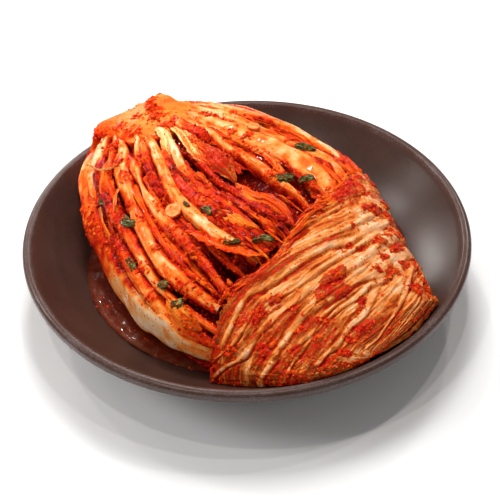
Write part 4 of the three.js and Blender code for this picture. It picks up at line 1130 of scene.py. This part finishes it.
# Each leaf's name, finish, stains, roll, cup, ruffle and stops
LEAVES = [
    ("leaf_heart", heart_finish, [0.4, 0.1, 0.2, 0.5, 0.75], 0.0, 0.35, 0.7,
     [(-92, -8, 3, 4), (-81, -7.5, 4, 0.2), (-70, -9.5, 4.4, -0.4), (-58, -12, 3.6, 0),
      (-44, -13, 2.5, 3)]),
    ("leaf_torn", heart_finish, [0.3, 0.35, 0.4, 0.5, 0.75], 0.25, 0.05, 1.4,
     [(-88, -3, 3, 3), (-70, -2.5, 3.4, -0.4), (-55, -3.5, 3.6, -1.2), (-42, -4, 3.2, -1.2),
      (-28, -2, 2.4, 2)]),
    ("leaf_flap", wrap_finish, [0.62, 0.76, 0.84, 0.8, 0.66], 0.3, 0.25, 1.8,
     [(-60, 0, 3, 2.5), (-46, -0.5, 5, -0.8), (-33, -0.5, 6, -2.4), (-20, -0.5, 5.2, -2.2),
      (-8, -1, 3.4, 1)]),
    ("rib_deep", stalk_finish, [0.2, 0.14, 0.2, 0.4], 0.0, 0.3, 0.2,
     [(-38, -6.5, 3, 8), (-20, -7, 3.4, 7.5), (-5, -7.5, 3.2, 7), (10, -8, 2.5, 7)]),
    ("leaf_curled", shred_finish, [0.55, 0.6, 0.65, 0.6, 0.5], -0.45, -0.2, 0.7,
     [(8, -29, 3, 2), (20, -28, 5, -0.6), (34, -25, 6.5, -2.0), (46, -20, 6, -2.0), (55, -13, 3.5, 0)]),
    ("leaf_tongue", shred_finish, [0.4, 0.25, 0.3, 0.5], 0.1, 0.25, 0.4,
     [(2, -18, 2.5, 1), (12, -15, 3.5, -1.8), (23, -12, 3.8, -2.4), (32, -9, 2.5, -1.8), (37, -8, 1, 0)]),
    ("leaf_ridge", shred_finish, [0.6, 0.45, 0.5, 0.6], 0.1, 0.35, 0.7,
     [(-6, -2, 2.5, 1), (6, -1, 4, -1.6), (17, 0, 4.5, -2.4), (29, 0.5, 4, -1.8), (45, 1, 3, 1)]),
    ("rib_branch", stalk_finish, [0.55, 0.42, 0.48, 0.6], 0.0, 0.4, 0.2,
     [(-34, 7, 1.6, 1), (-25, 9, 2.4, -1.8), (-14, 9.5, 2.6, -2.6), (-4, 9, 2.3, -1.6),
      (6, 7.5, 1.6, 1.5)]),
    ("leaf_left_flap", shred_finish, [0.45, 0.35, 0.55], 0.4, 0.15, 0.7,
     [(-56, -44, 2.5, 0.5), (-49, -48, 4.2, -2.0), (-42, -52, 4.2, -2.2), (-35, -55, 2.5, 0.6)]),
    ("leaf_left_curl", shred_finish, [0.5, 0.4, 0.6], -0.6, 0.1, 0.6,
     [(-84, -38, 2, 0.5), (-75, -43, 3.4, -1.6), (-67, -48, 4, -1.8), (-56, -52, 3, 0)]),
    ("leaf_low_flap", shred_finish, [0.3, 0.35, 0.5], 0.1, 0.15, 1.0,
     [(34, -60, 2.5, 1), (46, -61, 5, -1.8), (57, -61, 5.5, -2.4), (67, -60, 3, 0.5)]),
    ("leaf_far_edge", shred_finish, [0.55, 0.6, 0.5], 0.1, 0.2, 1.1,
     [(-12, 50, 3, 1), (2, 57, 5, -1.6), (13, 62, 5.5, -2.2), (24, 70, 4, -0.6)]),
    ("leaf_thread", heart_finish, [0.4, 0.3, 0.4], 0.0, 0.3, 0.1,
     [(-92, -53, 0.5, -2), (-84, -48, 0.7, -2.6), (-76, -44, 0.7, -2.8), (-71, -38, 0.7, -2.6),
      (-72, -33, 0.4, -2)]),
    ("leaf_upper_gap", shred_finish, [0.6, 0.5, 0.6], -0.2, 0.2, 1.0,
     [(-44, 3, 2.5, 1), (-32, 4, 4, 0), (-18, 5, 4, 0), (-4, 5, 2.5, 2)]),
]
for number, (name, finish, stains, roll, cup, ruffle, stops) in enumerate(LEAVES):
    leaf(name, finish, stains, roll, cup, ruffle, stops, 11.3 * number + 2)

# Fibrous strips frayed off the folded leaf's edge, running on over the stalks
frayed = []
for _ in range(FRAY_COUNT):
    turn_at = CHANCE.uniform(-22, 74)
    turns = np.linspace(turn_at, turn_at - CHANCE.uniform(12, 32), SHRED_STEPS)
    start, end = CHANCE.uniform(0, 8), CHANCE.uniform(-6, 1.5)
    route = np.stack([curve_at(WRAP_EDGE, turns) + np.linspace(start, end, SHRED_STEPS), turns], -1)
    depth = CHANCE.uniform(-1.8, 0) + float(ease(turn_at, -5, 20))
    width, seed = CHANCE.uniform(0.5, 1.4), CHANCE.uniform(0, 90)
    frayed.append(ribbon(route, depth, width, seed, 0.46 + 0.16 * CHANCE.normal(), 0.1))
strewn("frayed_strips", frayed)

# --- Chilli paste ---------------------------------------------------------------------------------------
# Coarse lumps of minced chilli, radish and garlic, 1 to 4 mm, stuck together in clusters between the stalks
# and smeared over them.

LUMP_COUNT = 900
LUMP_FLATNESS = 0.7
GRAIN_FLATNESS = 0.5


def ball(subdivisions):
    """The points and faces of a ball of radius 1."""
    made = bmesh.new()
    bmesh.ops.create_icosphere(made, subdivisions=subdivisions, radius=1.0)
    points = np.array([v.co for v in made.verts])
    faces = np.array([[v.index for v in f.verts] for f in made.faces])
    made.free()
    return points, faces


def lumps_at(rough, places, normals, sizes, flatness, stains):
    """Uneven lumps at places, each a rough ball pressed flat along its normal."""
    ball_points, ball_faces = rough
    count = len(places)
    first = unit(np.cross(normals, CHANCE.normal(size=(count, 3))))
    second = np.cross(normals, first)
    x, y, z = ball_points.T
    swell = 1 + 0.5 * drift(x * 1.7 + np.arange(count)[:, None] * 3.1, y * 1.7 + z)
    shape = ball_points * swell[..., None] * sizes[:, None, None]
    stretch = CHANCE.uniform(0.8, 2.2, count)[:, None, None]
    points = places[:, None] + first[:, None] * shape[..., :1] * stretch + second[:, None] * shape[..., 1:2]
    points = points + normals[:, None] * shape[..., 2:] * flatness
    faces = (ball_faces + (np.arange(count) * len(ball_points))[:, None, None]).reshape(-1, 3)
    return points.reshape(-1, 3), faces, np.repeat(stains, len(ball_points))


def landing_places():
    """All the points where paste and flakes can land, and their directions."""
    points = [points.reshape(-1, 3) for points, *_ in landing]
    normals = [np.broadcast_to(normals, points.shape).reshape(-1, 3) for points, normals, _ in landing]
    return np.concatenate(points), np.concatenate(normals)


found = []
while len(found) < LUMP_COUNT:
    pair = CHANCE.integers(0, len(RUNS) - 1)
    u, between = CHANCE.uniform(0.0, 1.0), CHANCE.uniform(0.1, 0.9)
    here = along_route(RUNS[pair], [u])[0] * (1 - between) + along_route(RUNS[pair + 1], [u])[0] * between
    in_cluster = grain(here[:1] * 0.09, here[1:2] * 0.12, 2)[0] > CHANCE.uniform(-0.5, 0.5)
    if in_cluster and in_gap(*here[:2], 1.3) < 0.25:
        found.append(here[:2])
found = np.array(found)
place, normal = surface(found[:, 0], found[:, 1])
sizes = CHANCE.uniform(0.5, 1.5, LUMP_COUNT)
depths = CHANCE.uniform(1.0, 6.0, LUMP_COUNT)
stains = np.clip(CHANCE.normal(0.5, 0.2, LUMP_COUNT), 0, 1)
place = above_dish(place - normal * depths[:, None])
points, faces, stains = lumps_at(ball(2), place, normal, sizes, LUMP_FLATNESS, stains)
make_piece("paste_lumps", from_head(points), faces, paste, stains)

# Loose grains lie on every clump of paste, also on those of the core and the folded leaf
CLUMPS += [(a, r, 0.7 * long, 24) for a, r, long, _ in CORE_PASTE]
CLUMPS += [(a, r, 0.7 * long + 0.3, round(1.4 * long * wide)) for a, r, long, wide in WRAP_PASTE]
ground, upward = landing_places()
grain_spots = []
for clump_along, clump_turn, spread, count in CLUMPS:
    at, facing = surface(clump_along, clump_turn)
    distance = np.linalg.norm(ground - at, axis=1)
    near = np.flatnonzero((distance < 1.8 * spread) & (upward @ facing > 0.2))
    if not len(near):
        continue
    chance = hump(distance[near], 0, spread)
    count = min(round(0.5 * count), len(near))
    grain_spots.append(CHANCE.choice(near, count, p=chance / chance.sum(), replace=False))
grain_spots = np.concatenate(grain_spots)
sizes = CHANCE.uniform(0.4, 1.3, len(grain_spots))
stains = np.clip(CHANCE.normal(0.36, 0.14, len(grain_spots)), 0, 1)
normal = upward[grain_spots]
place = ground[grain_spots] + normal * (0.05 * sizes)[:, None]
points, faces, stains = lumps_at(ball(1), place, normal, sizes, GRAIN_FLATNESS, stains)
make_piece("paste_grains", from_head(above_dish(points, 0.5)), faces, paste, stains)

# --- Scallion leaves --------------------------------------------------------------------------------------
# Short cuts of dark green scallion leaf, 9 to 14 mm long and limp, each stuck down in the paste. A cut end
# shows the hollow leaf folded flat.

GREEN_TONES = [
    (0.0, (170, 160, 100)), (0.25, (96, 92, 44)), (0.5, (46, 46, 20)), (0.75, (52, 38, 14)),
    (1.0, (168, 62, 16)),
]
green_finish = wet_leaf(
    "scallion_leaf", GREEN_TONES, lumps=0.3, flakes=0.12, gloss=0.4, wet=0.12, glow=0.05, mottle=0.34,
    fibres=0.4,
)
GREEN_ROWS = 30
GREEN_COLUMNS = 16
# Each cut's place, the way it lies in degrees, and its length and width
GREENS = [
    (-57, -56, 20, 9, 5), (-27, -50, 25, 14, 8), (-2, -64, -5, 13, 5), (29, -56, 30, 8, 7),
    (45, -58, 40, 9, 8),
    (6, -18, 10, 9, 6), (-7, -23, 5, 7, 4), (36, -19, 55, 11, 4), (45, -9, 60, 13, 5), (-13, 31, 40, 14, 9),
    (8, 8, 60, 12, 8), (16, 15, 80, 11, 6),
]
for number, (along, turn, spin, length, width) in enumerate(GREENS):
    i, j = grid_of(np.linspace(-0.5, 0.5, GREEN_ROWS), np.linspace(-0.5, 0.5, GREEN_COLUMNS))
    bend = 0.16 * math.sin(number * 2.1) * length
    x = 0.9 * i * length * (1 + 0.2 * waver(j * 9 + number * 7))
    y = 0.8 * j * width * (1 - 0.3 * (2 * i) ** 4) * (1 + 0.25 * waver(i * 6 + 3, number))
    y = y + bend * (4 * i**2 - 0.5)
    c, s = math.cos(math.radians(spin)), math.sin(math.radians(spin))
    point, normal = surface(along + x * c - y * s, turn + (x * s + y * c) / a_degree(along, turn))
    fold = 0.7 * np.abs(drift(j * 2.6 + number * 3, i * 1.5)) * (1 - 4 * i**2)
    z = 0.4 * drift(i * 5 + number * 3, j * 3) + fold + 0.1 * drift(i * 3, j * 26)
    z = z - 1.4 * ease(np.abs(2 * j), 0.75, 1) - 1.4 * ease(np.abs(2 * i), 0.85, 1)
    points = point + normal * (z + 2.1)[..., None]
    stain = 0.36 + 0.3 * drift(i * 4, j * 12 + number) + 0.5 * ease(grain(i * 4 + number, j * 3), 0.15, 0.5)
    landing.append((points, normal, 0.35))
    make_piece(
        f"scallion_leaf_{number + 1}", from_head(points), grid_faces(GREEN_ROWS, GREEN_COLUMNS), green_finish,
        stain, (j * width / 0.6, i * 2), [f"scallion_{number + 1}"],
    )

# --- Garlic slices ----------------------------------------------------------------------------------------
# Two thin round slices of garlic, stained orange and translucent, with a paler ring under the rim. They lie
# on the stalks, held by the paste.

GARLIC_TONES = [(0.0, (248, 190, 120)), (0.4, (242, 148, 76)), (0.75, (228, 92, 36)), (1.0, (170, 40, 12))]
garlic_finish = wet_leaf(
    "garlic_slice", GARLIC_TONES, lumps=0.12, flakes=0.1, gloss=0.3, glow=0.3, mottle=0.16
)
# Each slice's place, its radius and its height over the head's outside
SLICES = [(-9, -29, 5.5, 1.9), (-46, 17.5, 4, 3.6)]
SLICE_SIDES = 48
# Rings of a slice from its middle to under its rim, as shares of the radius and heights
ring_share = np.concatenate([np.linspace(0.02, 0.86, 12), [0.93, 0.975, 1.0, 1.01, 1.0]])
ring_height = np.concatenate([np.zeros(12), [-0.03, -0.14, -0.45, -0.9, -1.6]])
pale_ring = 0.15 * hump(ring_share, 0.8, 0.08)[:, None]
for number, (along, turn, size, height) in enumerate(SLICES):
    point, normal = surface(along, turn)
    ahead = unit(np.array([1.0, 0, 0]) - normal * normal[0])
    across = np.cross(normal, ahead)
    around = np.linspace(0, 2 * math.pi, SLICE_SIDES, endpoint=False)
    r = ring_share[:, None] * size * (1 + 0.06 * waver(around * 1.2 + number * 9))
    x, y = r * np.cos(around), r * np.sin(around)
    rise = ring_height[:, None] + 0.25 * drift(x * 0.4 + 9, y * 0.4)
    points = point + normal * (rise + height)[..., None] + ahead * x[..., None]
    points = points + across * y[..., None]
    stain = 0.5 + 0.25 * ease(ring_share, 0.8, 1.0)[:, None] - pale_ring
    stain = stain + 0.3 * grain(x * 0.5, y * 0.5)
    faces = grid_faces(len(ring_share), SLICE_SIDES, closed=True)
    make_piece(
        f"garlic_slice_{number + 1}", from_head(points), faces, garlic_finish, stain,
        stands_for=[f"garlic_{number + 1}"],
    )

# --- Chilli flakes ----------------------------------------------------------------------------------------
# Coarse dried chilli, 0.6 to 1.8 mm flakes with curled edges, soaked and stuck over everything, thickest
# where the paste is.

FLAKE_TONES = [(0.0, (246, 112, 30)), (0.4, (238, 66, 12)), (0.75, (214, 32, 16)), (1.0, (162, 14, 10))]
flake_finish = wet_leaf("chilli_flake", FLAKE_TONES, lumps=0.2, flakes=0.0, gloss=0.3, glow=0.05, mottle=0.2)
FLAKE_COUNT = 4600
FLAKE_SIDES = 6
ground, upward = landing_places()
chance = [np.broadcast_to(stain, points.shape[:2]).ravel() for points, _, stain in landing]
chance = np.clip(np.concatenate(chance), 0.25, 1.0) ** 2
chosen = CHANCE.choice(len(ground), FLAKE_COUNT, p=chance / chance.sum(), replace=False)
around = np.linspace(0, 2 * math.pi, FLAKE_SIDES, endpoint=False)
size = CHANCE.uniform(0.35, 0.9, FLAKE_COUNT)
uneven = size[:, None] * CHANCE.uniform(0.6, 1.25, (FLAKE_COUNT, FLAKE_SIDES))
normals = unit(upward[chosen] + 0.45 * CHANCE.normal(size=(FLAKE_COUNT, 3)))
first = unit(np.cross(normals, CHANCE.normal(size=(FLAKE_COUNT, 3))))
second = np.cross(normals, first)
places = ground[chosen] + upward[chosen] * 0.25
# Each flake is a low fan of triangles round its crest
rim = places[:, None] + first[:, None] * (uneven * np.cos(around) * 1.3)[..., None]
rim = rim + second[:, None] * (uneven * np.sin(around))[..., None]
rim = rim - normals[:, None] * (0.3 * size)[:, None, None]
crest = places + normals * (0.25 * size)[:, None]
flake_points = np.concatenate([crest[:, None], rim], 1).reshape(-1, 3)
fan = np.array([(0, 1 + k, 1 + (k + 1) % FLAKE_SIDES) for k in range(FLAKE_SIDES)])
flake_faces = (fan + (np.arange(FLAKE_COUNT) * (FLAKE_SIDES + 1))[:, None, None]).reshape(-1, 3)
flake_stain = np.repeat(np.clip(CHANCE.normal(0.45, 0.25, FLAKE_COUNT), 0, 1), FLAKE_SIDES + 1)
flake_points = from_head(above_dish(flake_points, 0.5))
make_piece("chilli_flakes", flake_points, flake_faces, flake_finish, flake_stain)
